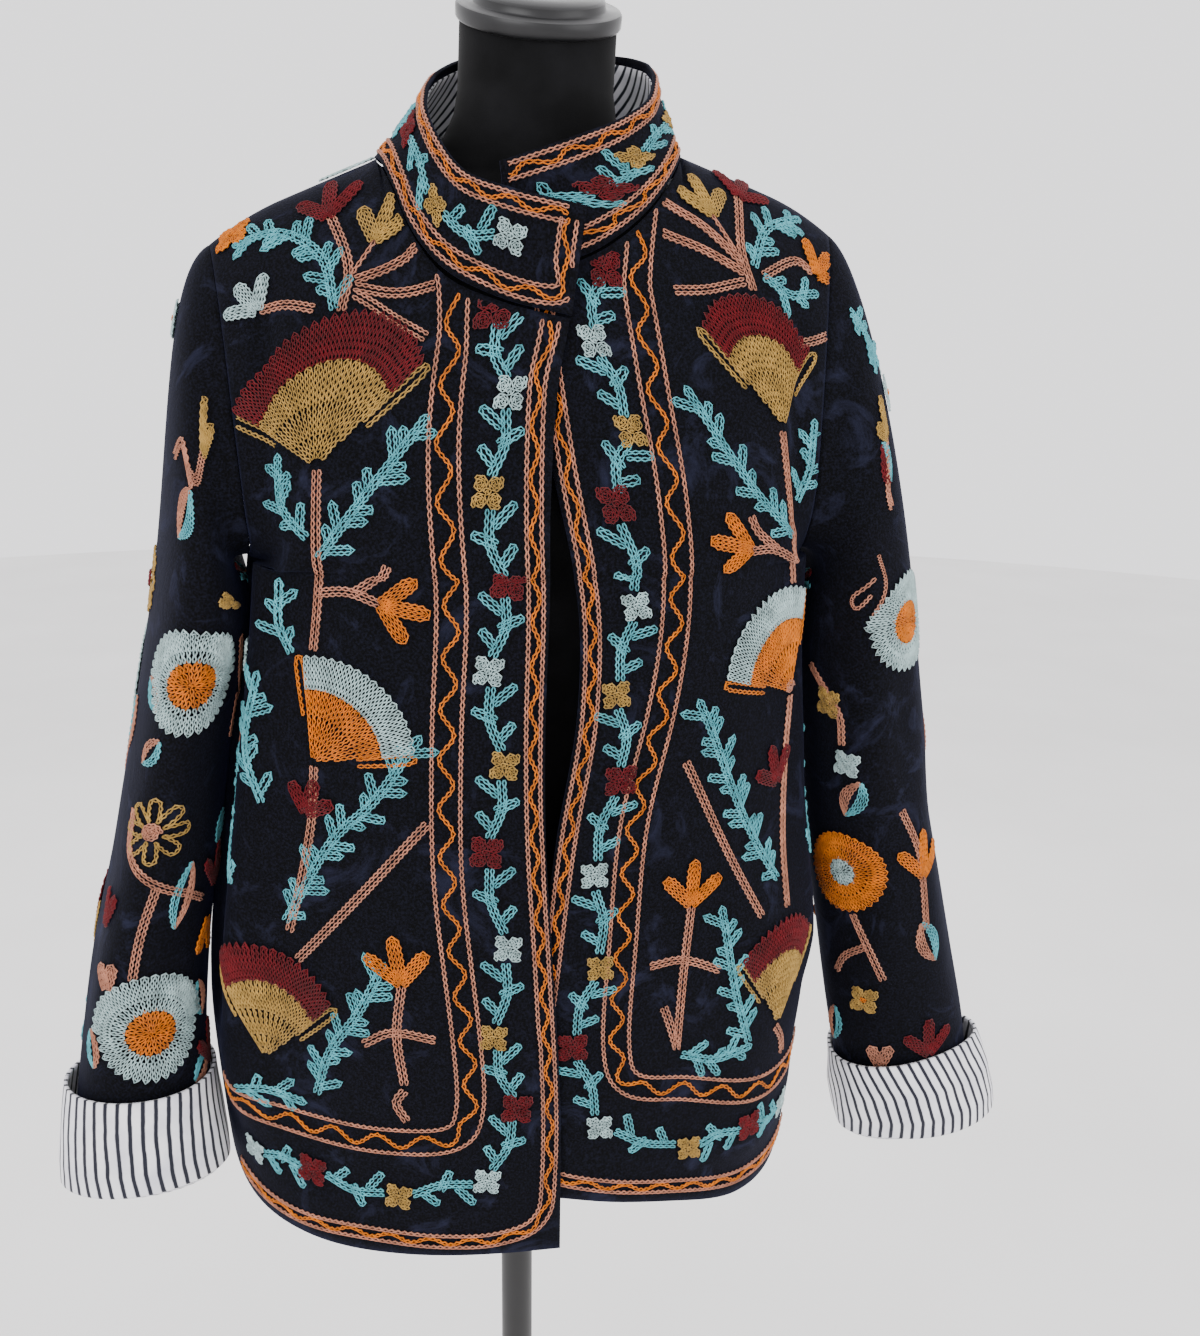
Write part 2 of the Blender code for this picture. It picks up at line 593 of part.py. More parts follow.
def cuff_grid(side):
    """Outer points of one cuff, from its lip under the sleeve's end up to the free edge."""
    angles = np.linspace(0.0, 2 * math.pi, SLEEVE_COLUMNS, endpoint=False)
    fold_z = SLEEVE[side][-1][0]
    ring = sleeve_ring(side, angles, np.full_like(angles, fold_z))
    higher = sleeve_ring(side, angles, np.full_like(angles, fold_z + 0.02))
    up = (higher - ring).mean(axis=0)
    up = up / np.linalg.norm(up)
    middle = ring.mean(axis=0)
    away = ring - middle
    away = away / np.linalg.norm(away, axis=-1, keepdims=True)
    rows = []
    name = "right" if side == RIGHT else "left"
    for entry in CUFF:
        height, stand_off = entry[0], entry[CUFF_NAMES.index(name)]
        base = sleeve_ring(side, angles, np.full_like(angles, fold_z + max(height, 0.0)))
        share = np.clip(height / CUFF[-1][0], 0.0, 1.0)
        wave = CUFF_WAVE[side] * share * np.sin(3 * angles + 1.1)
        flare = CUFF_SAG[side] * (1 - share) * np.clip(np.cos(angles - 0.5), 0.0, 1.0) * (height >= 0)
        shift = (stand_off + wave + flare)[:, None] * away
        rows.append(base + up * min(height, 0.0) + shift)
    return np.stack(rows)


def collar_grid():
    """Outer points of the collar: a bowed band from its seam (0) to its top edge (1)."""
    share = np.linspace(0.0, 1.0, COLLAR_COLUMNS + 1)
    band = along(COLLAR, share)
    up = np.array(COLLAR_ROWS)[:, None, None]
    points = band[None, :, :3] * (1 - up) + band[None, :, 3:] * up
    points[..., 2] += COLLAR_LIFT
    outward = -grid_normals(points)
    return points + outward * (COLLAR_BOW * np.sin(math.pi * up))


def grid_mesh(name, points, closed, flip):
    """Mesh of four-sided faces over a grid of points, joined round when closed."""
    rows, columns = points.shape[:2]
    mesh = bpy.data.meshes.new(name)
    index = np.arange(rows * columns).reshape(rows, columns)
    over = np.roll(index, -1, axis=1)
    if not closed:
        index, over = index[:, :-1], over[:, :-1]
    corners = [index[:-1], over[:-1], over[1:], index[1:]]
    if flip:
        corners.reverse()
    faces = np.stack([corner.ravel() for corner in corners], axis=1)
    mesh.from_pydata(points.reshape(-1, 3).tolist(), [], faces.tolist())
    mesh.update()
    return mesh


def material(finish):
    """Principled material for one finish."""
    name, colour, roughness, metallic = finish
    made = bpy.data.materials.get(name) or bpy.data.materials.new(name)
    made.use_nodes = True
    shader = made.node_tree.nodes["Principled BSDF"]
    shader.inputs["Base Color"].default_value = (*colour, 1.0)
    shader.inputs["Roughness"].default_value = roughness
    shader.inputs["Metallic"].default_value = metallic
    return made


def add_object(name, mesh, finish, collection):
    """Put a mesh in the collection as a named object with its material."""
    made = bpy.data.objects.new(name, mesh)
    mesh.materials.append(material(finish))
    mesh.shade_smooth()
    collection.objects.link(made)
    return made


def add_wall(name, points, closed, flip, thickness, finish, collection):
    """Cloth wall: an open surface thickened inwards from its outer side."""
    wall = add_object(name, grid_mesh(name, points, closed, flip), finish, collection)
    solidify = wall.modifiers.new("Cloth", "SOLIDIFY")
    solidify.thickness = thickness
    solidify.offset = -1.0
    solidify.use_rim = True
    return wall


def ring_solid(name, rings, finish, collection):
    """Closed solid through a stack of rings, capped flat at both ends."""
    rings = np.asarray(rings)
    mesh = grid_mesh(name, rings, closed=True, flip=False)
    body = bmesh.new()
    body.from_mesh(mesh)
    body.verts.ensure_lookup_table()
    columns = rings.shape[1]
    body.faces.new([body.verts[k] for k in reversed(range(columns))])
    body.faces.new([body.verts[k] for k in range(len(body.verts) - columns, len(body.verts))])
    body.to_mesh(mesh)
    body.free()
    return add_object(name, mesh, finish, collection)


def form_ring(entry):
    """One section of the dress form, anticlockwise from +X."""
    value = dict(zip(FORM_NAMES, entry))
    angles = np.linspace(0.0, 2 * math.pi, FORM_COLUMNS, endpoint=False)
    power = 2 / value["power"]
    depth = np.where(np.sin(angles) < 0, value["front_depth"], value["back_depth"])
    x = value["middle_x"] + value["half_width"] * signed_power(np.cos(angles), power)
    y = value["middle_y"] + depth * signed_power(np.sin(angles), power)
    return np.stack([x, y, np.full_like(x, value["height"])], axis=-1)


def shoulder_ring(entry):
    """Section of the form just under the jacket's shoulder line, which rests on it."""
    height, front_depth, back_depth, power = entry
    reach = []
    for side in (RIGHT, LEFT):
        low, high = 0.0, 0.3
        for _ in range(40):
            half = (low + high) / 2
            over = shoulder_height(SHOULDER_MIDDLE + side * half) > height + FORM_SHOULDER_GAP
            low, high = (half, high) if over else (low, half)
        reach.append(SHOULDER_MIDDLE + side * min(low, FORM_SHOULDER_REACH))
    middle, half_width = (reach[0] + reach[1]) / 2, (reach[1] - reach[0]) / 2
    return form_ring((height, half_width, front_depth, back_depth, middle, 0.0, power))


def slanted_ring(radius, lift):
    """Circle in the neck's slanted plane, moved out along its axis."""
    angles = np.linspace(0.0, 2 * math.pi, FORM_COLUMNS, endpoint=False)
    x, y = radius * np.cos(angles), radius * np.sin(angles)
    axis = np.array([0.0, -math.sin(NECK_SLANT), math.cos(NECK_SLANT)])
    across = np.array([0.0, math.cos(NECK_SLANT), math.sin(NECK_SLANT)])
    centre = np.array(NECK_TOP_CENTRE) + axis * lift
    return centre + x[:, None] * np.array([1.0, 0.0, 0.0]) + y[:, None] * across


def add_form(collection):
    """Limbless dress form: body, shoulders and slanted neck in one cover, and its neck cap."""
    rings = [form_ring(entry) for entry in FORM]
    rings += [shoulder_ring(entry) for entry in FORM_SHOULDER]
    rings += [form_ring(entry) for entry in FORM_NECK]
    rings += [slanted_ring(NECK_TOP_RADIUS, 0.0)]
    ring_solid("form_body", rings, FORM_VELVET, collection)
    lift = SEAM_GAP
    rim_top = lift + CAP_RIM_HEIGHT
    cap = [
        slanted_ring(CAP_RADIUS - 0.003, lift),
        slanted_ring(CAP_RADIUS, lift + 0.002),
        slanted_ring(CAP_RADIUS, rim_top - 0.002),
        slanted_ring(CAP_RADIUS - 0.003, rim_top),
        slanted_ring(CAP_STEP_RADIUS, rim_top + 0.0005),
        slanted_ring(CAP_STEP_RADIUS - 0.001, rim_top + CAP_STEP_HEIGHT),
    ]
    ring_solid("form_neck_cap", cap, DARK_METAL, collection)


def turned(name, profile, finish, collection):
    """Turned piece: a profile down its outer side, top to bottom, screwed round the Z axis."""
    mesh = bpy.data.meshes.new(name)
    edges = [(k, k + 1) for k in range(len(profile) - 1)]
    mesh.from_pydata([(radius, 0.0, height) for radius, height in profile], edges, [])
    made = add_object(name, mesh, finish, collection)
    screw = made.modifiers.new("Turn", "SCREW")
    screw.steps = ROUND_STEPS
    screw.render_steps = ROUND_STEPS
    screw.use_merge_vertices = True
    screw.merge_threshold = 0.0001
    return made


def add_stand(collection):
    """Pole with the flange that carries the form, and the round base plate with its boss."""
    form_bottom = FORM[0][0]
    pole_top = form_bottom - SEAM_GAP
    pole_foot = BASE_THICKNESS + BASE_BOSS_HEIGHT + SEAM_GAP
    pole = [
        (0.0, pole_top),
        (FLANGE_RADIUS, pole_top),
        (FLANGE_RADIUS, pole_top - FLANGE_HEIGHT),
        (POLE_RADIUS, pole_top - FLANGE_HEIGHT - 0.004),
        (POLE_RADIUS, pole_foot),
        (0.0, pole_foot),
    ]
    turned("form_pole", pole, BLACK_METAL, collection)
    boss_top = BASE_THICKNESS + BASE_BOSS_HEIGHT
    base = [
        (0.0, boss_top),
        (BASE_BOSS_RADIUS - BASE_BOSS_SLOPE, boss_top),
        (BASE_BOSS_RADIUS, BASE_THICKNESS + 0.006),
        (BASE_BOSS_RADIUS + 0.008, BASE_THICKNESS),
        (BASE_RADIUS - BASE_EDGE, BASE_THICKNESS),
        (BASE_RADIUS, BASE_THICKNESS - BASE_EDGE),
        (BASE_RADIUS, 0.0),
        (0.0, 0.0),
    ]
    turned("form_base", base, BLACK_METAL, collection)


def add_jacket(collection):
    """All the cut and sewn pieces of the jacket."""
    velvet = (CLOTH, VELVET, collection)
    add_wall("front_right", front_grid(RIGHT), False, True, *velvet)
    add_wall("front_left", front_grid(LEFT), False, False, *velvet)
    add_wall("back", back_grid(), False, True, *velvet)
    add_wall("sleeve_right", sleeve_grid(RIGHT), True, True, *velvet)
    add_wall("sleeve_left", sleeve_grid(LEFT), True, False, *velvet)
    striped = (CUFF_CLOTH, STRIPED_COTTON, collection)
    add_wall("cuff_right", cuff_grid(RIGHT), True, False, *striped)
    add_wall("cuff_left", cuff_grid(LEFT), True, True, *striped)
    collar = collar_grid()
    add_wall("collar", collar, False, True, *velvet)
    lining = (collar + grid_normals(collar) * (CLOTH + LINING_GAP))[1:, 2:-2]
    add_wall("collar_lining", lining, False, True, LINING_CLOTH, STRIPED_COTTON, collection)


def clear_scene():
    """Start from an empty scene."""
    for old in list(bpy.data.objects):
        bpy.data.objects.remove(old, do_unlink=True)


def main():
    """Build the jacket on its form."""
    clear_scene()
    collection = bpy.data.collections.new("embroidered_jacket")
    bpy.context.scene.collection.children.link(collection)
    add_jacket(collection)
    add_form(collection)
    add_stand(collection)


main()
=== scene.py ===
"""Looks of the embroidered velvet jacket on its limbless dress form.

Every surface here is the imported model's own surface, worked out again from the same sizes in
finer steps, apart from the right sleeve's inner side, which hangs nearer the body, and the
panels just under the neckline. The chain stitch is yarn laid on the cloth by lengths along it.
Units are metres, +Z is up, the jacket faces -Y, and the wearer's right is at -X.
"""

import math

import bpy
import numpy as np
from mathutils import Euler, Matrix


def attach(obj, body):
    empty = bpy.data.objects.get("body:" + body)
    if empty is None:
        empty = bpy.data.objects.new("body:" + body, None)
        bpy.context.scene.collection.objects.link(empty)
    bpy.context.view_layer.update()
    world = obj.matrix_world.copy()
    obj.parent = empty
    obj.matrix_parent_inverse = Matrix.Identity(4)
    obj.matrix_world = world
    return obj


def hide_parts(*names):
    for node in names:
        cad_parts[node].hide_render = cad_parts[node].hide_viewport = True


bl_info = {
    "name": "Embroidered Velvet Jacket",
    "version": (1, 0, 0),
    "blender": (4, 5, 0),
    "location": "View3D > Sidebar > Jacket",
    "description": "Velvet jacket with chain-stitch embroidery on a dress form",
    "category": "Add Mesh",
}

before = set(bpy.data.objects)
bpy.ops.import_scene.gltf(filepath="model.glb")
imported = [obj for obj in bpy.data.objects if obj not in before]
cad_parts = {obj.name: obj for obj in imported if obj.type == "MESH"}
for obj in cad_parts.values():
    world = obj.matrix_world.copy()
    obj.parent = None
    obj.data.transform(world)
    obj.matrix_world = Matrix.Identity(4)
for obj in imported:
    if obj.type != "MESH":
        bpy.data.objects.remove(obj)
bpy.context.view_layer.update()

RIGHT, LEFT = -1.0, 1.0
SIDE_NAMES = {RIGHT: "right", LEFT: "left"}
SEAM_GAP = 0.0003
ARMHOLE_GAP = 0.0004
SEAM_START = 0.90
NECK_SAMPLES = 240
HALVINGS = 40
NECK_BLEND = 0.80
THIN_SHARE = 0.15
SLACK_FOOT = 0.90
UNDERARM_SLACK = {RIGHT: 0.0070, LEFT: 0.0}

# Places past these, in each surface's own parameters, lie in a seam and carry no stitches
CLOTH_TOP, CLOTH_SIDE, CLOTH_HEM = 1.985, 0.985, 0.002
CLOTH_CAP, CLOTH_END, CLOTH_TAB = -0.96, 0.99, 0.004

# Torso sections, from the lowest hem point up to the armpit
TORSO_NAMES = ("height", "half_width", "front_depth", "back_depth", "middle")
TORSO = (
    (0.680, 0.2000, 0.1345, 0.1300, -0.003),
    (0.760, 0.2090, 0.1340, 0.1290, -0.0015),
    (0.850, 0.2150, 0.1335, 0.1270, 0.001),
    (0.990, 0.1970, 0.1315, 0.1220, 0.002),
    (1.100, 0.1835, 0.1310, 0.1170, 0.0055),
    (1.140, 0.1810, 0.1300, 0.1150, 0.008),
)
SECTION_POWER = 2.4
ARMPIT_Z = 1.140

# Shoulder line, a rounded ridge that falls away on both sides of the neck
SHOULDER_TOP = 1.4186
SHOULDER_MIDDLE = 0.009
SHOULDER_FALL = 0.40
SHOULDER_TILT = 0.0436
SHOULDER_ROUND = 0.030
SHOULDER_DROP_START = 0.150
SHOULDER_DROP = 4.0

# Upper body, from the armpit (0) over the shoulder (1)
FRONT_RISE, FRONT_FADE = 1.7, 0.8
BACK_RISE, BACK_FADE = 1.0, 0.6
ARMHOLE_NAMES = ("climb", "half_width")
ARMHOLE = ((0.0, 0.1810), (0.06, 0.1760), (0.12, 0.1735), (0.22, 0.1740), (0.45, 0.1790),
           (0.75, 0.1870), (1.0, 0.1940))
ARMHOLE_DEPTH = 0.60
ARMHOLE_TURN = 0.32

# Hem heights across each panel, from its centre (0) to the side seam (1)
HEM_NAMES = ("across", "right", "left", "back")
HEM = (
    (0.00, 0.6900, 0.7300, 0.7180),
    (0.25, 0.6925, 0.7120, 0.7190),
    (0.50, 0.6970, 0.6940, 0.7220),
    (0.75, 0.7100, 0.6980, 0.7280),
    (1.00, 0.7440, 0.7300, 0.7370),
)
HEM_SIDE_Z = {RIGHT: 0.7440, LEFT: 0.7300}

# Centre edges of the fronts by height: where each one stops, across X
EDGE_NAMES = ("height", "right", "left")
CENTRE_EDGE = (
    (0.690, 0.0150, -0.0150),
    (0.800, 0.0145, -0.0100),
    (0.900, 0.0090, 0.0020),
    (0.980, 0.0045, 0.0120),
    (1.060, 0.0040, 0.0240),
    (1.120, 0.0060, 0.0240),
    (1.180, 0.0072, 0.0130),
    (1.240, 0.0114, 0.0010),
    (1.310, 0.0220, -0.0110),
)
UNDERLAP_DEPTH = 0.0050
UNDERLAP_WIDTH = 0.070

# Neck seam as x, y, z, from each front's centre edge to the shoulder, then round the back
NECK_RIGHT = (
    (0.0205, -0.1000, 1.2840),
    (-0.0190, -0.0970, 1.2930),
    (-0.0480, -0.0866, 1.3058),
    (-0.0660, -0.0730, 1.3290),
    (-0.0745, -0.0565, 1.3510),
    (-0.0810, -0.0375, 1.3665),
    (-0.0855, 0.0000, 1.3752),
)
NECK_LEFT = (
    (-0.0110, -0.0930, 1.3050),
    (0.0380, -0.0858, 1.3205),
    (0.0660, -0.0733, 1.3400),
    (0.0845, -0.0563, 1.3605),
    (0.0955, -0.0365, 1.3760),
    (0.1015, 0.0000, 1.3838),
)
NECK_BACK = (
    (-0.0855, 0.0000, 1.3752),
    (-0.0810, 0.0265, 1.3758),
    (-0.0720, 0.0370, 1.3775),
    (-0.0350, 0.0583, 1.3815),
    (0.0110, 0.0643, 1.3865),
    (0.0560, 0.0580, 1.3845),
    (0.0900, 0.0386, 1.3838),
    (0.0975, 0.0275, 1.3838),
    (0.1015, 0.0000, 1.3838),
)

# Folds in the fronts and the back: panel, line from s, t to s, t, width, and height (- a trough)
FOLDS = (
    ("front_right", 0.70, 1.35, 0.66, 0.10, 0.030, 0.009),
    ("front_right", 0.86, 1.20, 0.84, 0.25, 0.034, -0.010),
    ("front_right", 0.80, 1.70, 0.92, 1.18, 0.022, -0.009),
    ("front_right", 0.40, 0.75, 0.44, 0.05, 0.045, -0.004),
    ("front_left", 0.72, 1.30, 0.76, 0.30, 0.032, 0.006),
    ("front_left", 0.82, 1.65, 0.90, 1.15, 0.026, -0.008),
    ("front_left", 0.50, 0.60, 0.46, 0.04, 0.045, 0.005),
    ("front_left", 0.90, 0.80, 0.86, 0.10, 0.035, -0.006),
    ("back", 0.35, 0.90, 0.40, 0.05, 0.045, 0.006),
    ("back", 0.64, 0.95, 0.60, 0.05, 0.050, 0.007),
    ("back", 0.50, 0.70, 0.50, 0.05, 0.040, -0.006),
    ("back", 0.14, 1.45, 0.12, 0.30, 0.030, -0.008),
    ("back", 0.87, 1.45, 0.88, 0.30, 0.030, -0.008),
)
PANEL_WIDTH, PANEL_HEIGHT = 0.30, 0.42
LOWER_HEIGHT, UPPER_HEIGHT, ARMPIT_CROWD = 0.44, 0.30, 0.9
FOLD_TOP, FOLD_FOOT = 0.3, 0.1
FOLD_SIDE_FADE, FOLD_TOP_FADE = 0.30, 0.35

# Sleeves below the armhole: outer and inner outline, from the upper arm down to the cuff's fold
SLEEVE_NAMES = ("height", "outer", "inner", "middle_y", "half_depth", "yaw")
SLEEVE = {
    RIGHT: (
        (1.100, 0.2400, 0.1762, -0.004, 0.088, 10.0),
        (1.030, 0.2540, 0.1892, -0.006, 0.082, 10.0),
        (0.950, 0.2710, 0.2000, -0.012, 0.074, 9.0),
        (0.870, 0.2890, 0.2116, -0.026, 0.062, 7.0),
        (0.800, 0.2970, 0.2150, -0.048, 0.048, 5.0),
        (0.735, 0.2990, 0.2090, -0.064, 0.036, 5.0),
    ),
    LEFT: (
        (1.100, 0.2760, 0.1930, -0.004, 0.084, 6.0),
        (1.030, 0.2880, 0.2010, -0.006, 0.079, 6.0),
        (0.950, 0.3030, 0.2120, -0.008, 0.070, 6.0),
        (0.870, 0.3210, 0.2260, -0.014, 0.058, 5.0),
        (0.790, 0.3380, 0.2380, -0.022, 0.045, 3.0),
        (0.695, 0.3520, 0.2560, -0.030, 0.034, 0.0),
    ),
}
SLEEVE_TILT = {RIGHT: 1.0, LEFT: 9.0}
SLEEVE_LEAN = {RIGHT: 8.0, LEFT: 8.0}
CAP_OUT = 0.034
CAP_DROP = 0.58
CAP_PULL = 0.100
UNDERARM_OUT = 0.020
UNDERARM_PULL = 0.022
LEAN_RUN = 0.25
RING_STEP = 0.02
CREASE_FADE = 0.08
SLEEVE_GIRTH, CAP_LENGTH, ARM_LENGTH = 0.45, 0.20, 0.40

# Creases of the sleeves: side, degrees round from the outer side by way of the front,
# top and bottom height, width in degrees, and height (- a trough)
CREASES = (
    (RIGHT, 60.0, 1.20, 0.80, 22.0, 0.0040),
    (RIGHT, 118.0, 1.12, 0.86, 20.0, -0.0050),
    (RIGHT, 20.0, 1.00, 0.76, 24.0, -0.0035),
    (RIGHT, 235.0, 1.12, 0.80, 26.0, -0.0050),
    (RIGHT, 300.0, 1.18, 0.84, 26.0, 0.0040),
    (LEFT, 70.0, 1.22, 0.92, 22.0, -0.0050),
    (LEFT, 112.0, 1.10, 0.80, 22.0, 0.0045),
    (LEFT, 28.0, 1.02, 0.76, 24.0, -0.0035),
    (LEFT, 240.0, 1.12, 0.82, 26.0, -0.0050),
    (LEFT, 300.0, 1.18, 0.84, 26.0, 0.0040),
)

# Cuffs: height above the fold and stand-off from the sleeve, up the turned-up band
CUFF_NAMES = ("height", "right", "left")
CUFF = (
    (-0.0030, 0.0000, 0.0000),
    (-0.0036, 0.0030, 0.0030),
    (0.0000, 0.0068, 0.0068),
    (0.0140, 0.0078, 0.0095),
    (0.0360, 0.0076, 0.0100),
    (0.0620, 0.0066, 0.0070),
)
CUFF_SAG = {RIGHT: 0.004, LEFT: 0.013}
CUFF_WAVE = {RIGHT: 0.0012, LEFT: 0.0032}
CUFF_RUMPLE = {RIGHT: 0.0010, LEFT: 0.0024}

# Collar: x, y, z of its seam and of its top edge, from the lapped tab end round the neck
COLLAR = (
    (0.0215, -0.1020, 1.2846, 0.0300, -0.0985, 1.3430),
    (-0.0190, -0.0992, 1.2937, -0.0140, -0.0950, 1.3520),
    (-0.0484, -0.0886, 1.3082, -0.0370, -0.0780, 1.3620),
    (-0.0663, -0.0735, 1.3299, -0.0490, -0.0590, 1.3790),
    (-0.0748, -0.0569, 1.3520, -0.0560, -0.0370, 1.3990),
    (-0.0812, -0.0378, 1.3675, -0.0550, -0.0180, 1.4110),
    (-0.0856, 0.0000, 1.3762, -0.0510, 0.0020, 1.4220),
    (-0.0811, 0.0267, 1.3768, -0.0455, 0.0170, 1.4300),
    (-0.0722, 0.0374, 1.3785, -0.0370, 0.0310, 1.4370),
    (-0.0350, 0.0586, 1.3825, -0.0120, 0.0500, 1.4460),
    (0.0110, 0.0646, 1.3875, 0.0180, 0.0580, 1.4500),
    (0.0560, 0.0583, 1.3855, 0.0520, 0.0530, 1.4500),
    (0.0902, 0.0389, 1.3848, 0.0780, 0.0330, 1.4460),
    (0.0976, 0.0277, 1.3848, 0.0830, 0.0170, 1.4410),
    (0.1016, 0.0000, 1.3848, 0.0850, 0.0000, 1.4340),
    (0.0957, -0.0367, 1.3770, 0.0825, -0.0220, 1.4230),
    (0.0847, -0.0566, 1.3615, 0.0750, -0.0440, 1.4090),
    (0.0662, -0.0736, 1.3410, 0.0540, -0.0660, 1.3940),
    (0.0380, -0.0850, 1.3213, 0.0270, -0.0800, 1.3820),
    (-0.0100, -0.0882, 1.3060, -0.0170, -0.0850, 1.3660),
)
COLLAR_BOW = -0.0015
COLLAR_LIFT = 0.0013
LINING_GAP = 0.0008
LINING_WALL = 0.0009

# Dress form: sections from its flat underside up to the slanted neck top
FORM_NAMES = ("height", "half_width", "front_depth", "back_depth", "middle_x", "middle_y", "power")
FORM = (
    (0.7750, 0.1600, 0.0980, 0.1000, 0.003, 0.000, 2.2),
    (0.8600, 0.1630, 0.1000, 0.1030, 0.004, 0.000, 2.2),
    (0.9800, 0.1320, 0.0880, 0.0870, 0.006, 0.000, 2.2),
    (1.0800, 0.1400, 0.0980, 0.0880, 0.007, 0.000, 2.2),
    (1.1800, 0.1480, 0.1060, 0.0900, 0.008, 0.000, 2.2),
    (1.2600, 0.1480, 0.0900, 0.0840, 0.008, 0.000, 2.1),
    (1.3150, 0.1500, 0.0680, 0.0720, 0.008, 0.000, 1.7),
)
# Its shoulders, kept under the jacket's shoulder line: height, front and back depth, power
FORM_SHOULDER = (
    (1.3320, 0.0600, 0.0640, 1.45),
    (1.3450, 0.0540, 0.0580, 1.28),
    (1.3560, 0.0450, 0.0520, 1.18),
)
FORM_SHOULDER_GAP = 0.0030
FORM_SHOULDER_REACH = 0.150
FORM_NECK = (
    (1.3680, 0.0860, 0.0430, 0.0480, 0.0100, 0.000, 1.3),
    (1.3780, 0.0660, 0.0440, 0.0450, 0.0110, 0.000, 1.6),
    (1.3900, 0.0560, 0.0460, 0.0450, 0.0118, 0.001, 1.9),
    (1.4040, 0.0500, 0.0480, 0.0450, 0.0125, 0.002, 2.0),
    (1.4180, 0.0478, 0.0480, 0.0440, 0.0130, 0.003, 2.0),
)
NECK_TOP_CENTRE = (0.0140, -0.0020, 1.4560)
NECK_TOP_RADIUS = 0.0475
NECK_SLANT = math.radians(24.0)

# Neck cap, pole and base
CAP_RADIUS = 0.0500
CAP_STEP_RADIUS = 0.0400
CAP_RIM_HEIGHT = 0.0100
CAP_STEP_HEIGHT = 0.0060
POLE_RADIUS = 0.0120
FLANGE_RADIUS = 0.0350
FLANGE_HEIGHT = 0.0080
BASE_RADIUS = 0.1650
BASE_THICKNESS = 0.0080
BASE_BOSS_RADIUS = 0.0300
BASE_BOSS_HEIGHT = 0.0350
BASE_EDGE = 0.0030


def smooth_rows(knots, values, at):
    """Smooth cubic through the values at the knots, read at the given places."""
    knots, values = np.asarray(knots, float), np.asarray(values, float)
    slopes = np.gradient(values, knots)
    place = np.clip(at, knots[0], knots[-1])
    row = np.clip(np.searchsorted(knots, place, side="right") - 1, 0, len(knots) - 2)
    span = knots[row + 1] - knots[row]
    f = (place - knots[row]) / span
    start = (1 + 2 * f) * (1 - f) ** 2 * values[row] + f * (1 - f) ** 2 * span * slopes[row]
    end = f * f * (3 - 2 * f) * values[row + 1] + f * f * (f - 1) * span * slopes[row + 1]
    return start + end


def column(table, names, name, at):
    """One named column of a table whose first column rises or falls, read at the given places."""
    rows = sorted(table, key=lambda entry: entry[0])
    return smooth_rows([row[0] for row in rows], [row[names.index(name)] for row in rows], at)


def along(points, share):
    """Points at the given shares of the way along a smooth line through the listed points."""
    points = np.asarray(points, float)
    steps = np.linalg.norm(np.diff(points[:, :3], axis=0), axis=1)
    reach = np.concatenate([[0.0], np.cumsum(steps)]) / steps.sum()
    return np.stack([smooth_rows(reach, points[:, k], share) for k in range(points.shape[1])], axis=-1)


def signed_power(value, power):
    """Power of the size of a value, with the value's own sign."""
    return np.sign(value) * np.abs(value) ** power


def ease(value):
    """Smooth step from 0 to 1."""
    f = np.clip(value, 0.0, 1.0)
    return f * f * (3 - 2 * f)


def shoulder_height(x):
    """Height of the shoulder line over any point across the body."""
    across = x - SHOULDER_MIDDLE
    slope = SHOULDER_FALL * np.hypot(across, SHOULDER_ROUND) - SHOULDER_TILT * across
    drop = SHOULDER_DROP * np.maximum(np.abs(across) - SHOULDER_DROP_START, 0.0) ** 2
    return SHOULDER_TOP - slope - drop


def armhole_reach(climb):
    """Share of the body's depth at which the armhole runs, round at the armpit."""
    turn = 1 - np.clip(climb / ARMHOLE_TURN, 0.0, 1.0)
    return ARMHOLE_DEPTH * np.sqrt(np.clip(1 - turn * turn, 0.0, 1.0))


def end_angle(climb):
    """Angle round the section at which the armhole cuts it, a right angle at the armpit."""
    return np.arccos(np.clip(armhole_reach(climb), 0.0, 1.0) ** (SECTION_POWER / 2))


def centre_angle(side, height, half_width, middle):
    """Angle round the section of a front's centre edge."""
    edge = column(CENTRE_EDGE, EDGE_NAMES, SIDE_NAMES[side], height)
    return np.arcsin(signed_power(side * (edge - middle) / half_width, SECTION_POWER / 2))


def low_body(side, face, s, rise):
    """Body between hem (rise 0) and armpit (rise 1): x by sine, y by cosine of a superellipse."""
    hem = column(HEM, HEM_NAMES, "back" if face > 0 else SIDE_NAMES[side], s)
    if face > 0:
        hem = hem + (HEM_SIDE_Z[side] - HEM[-1][3]) * ease(s)
    height = hem + (ARMPIT_Z - hem) * rise
    half_width = column(TORSO, TORSO_NAMES, "half_width", height)
    depth = column(TORSO, TORSO_NAMES, "back_depth" if face > 0 else "front_depth", height)
    middle = column(TORSO, TORSO_NAMES, "middle", height)
    start = 0.0 if face > 0 else centre_angle(side, height, half_width, middle)
    angle = start + (math.pi / 2 - start) * s
    x = middle + side * half_width * signed_power(np.sin(angle), 2 / SECTION_POWER)
    y = face * depth * np.abs(np.cos(angle)) ** (2 / SECTION_POWER)
    return np.stack([x, y, height], axis=-1)


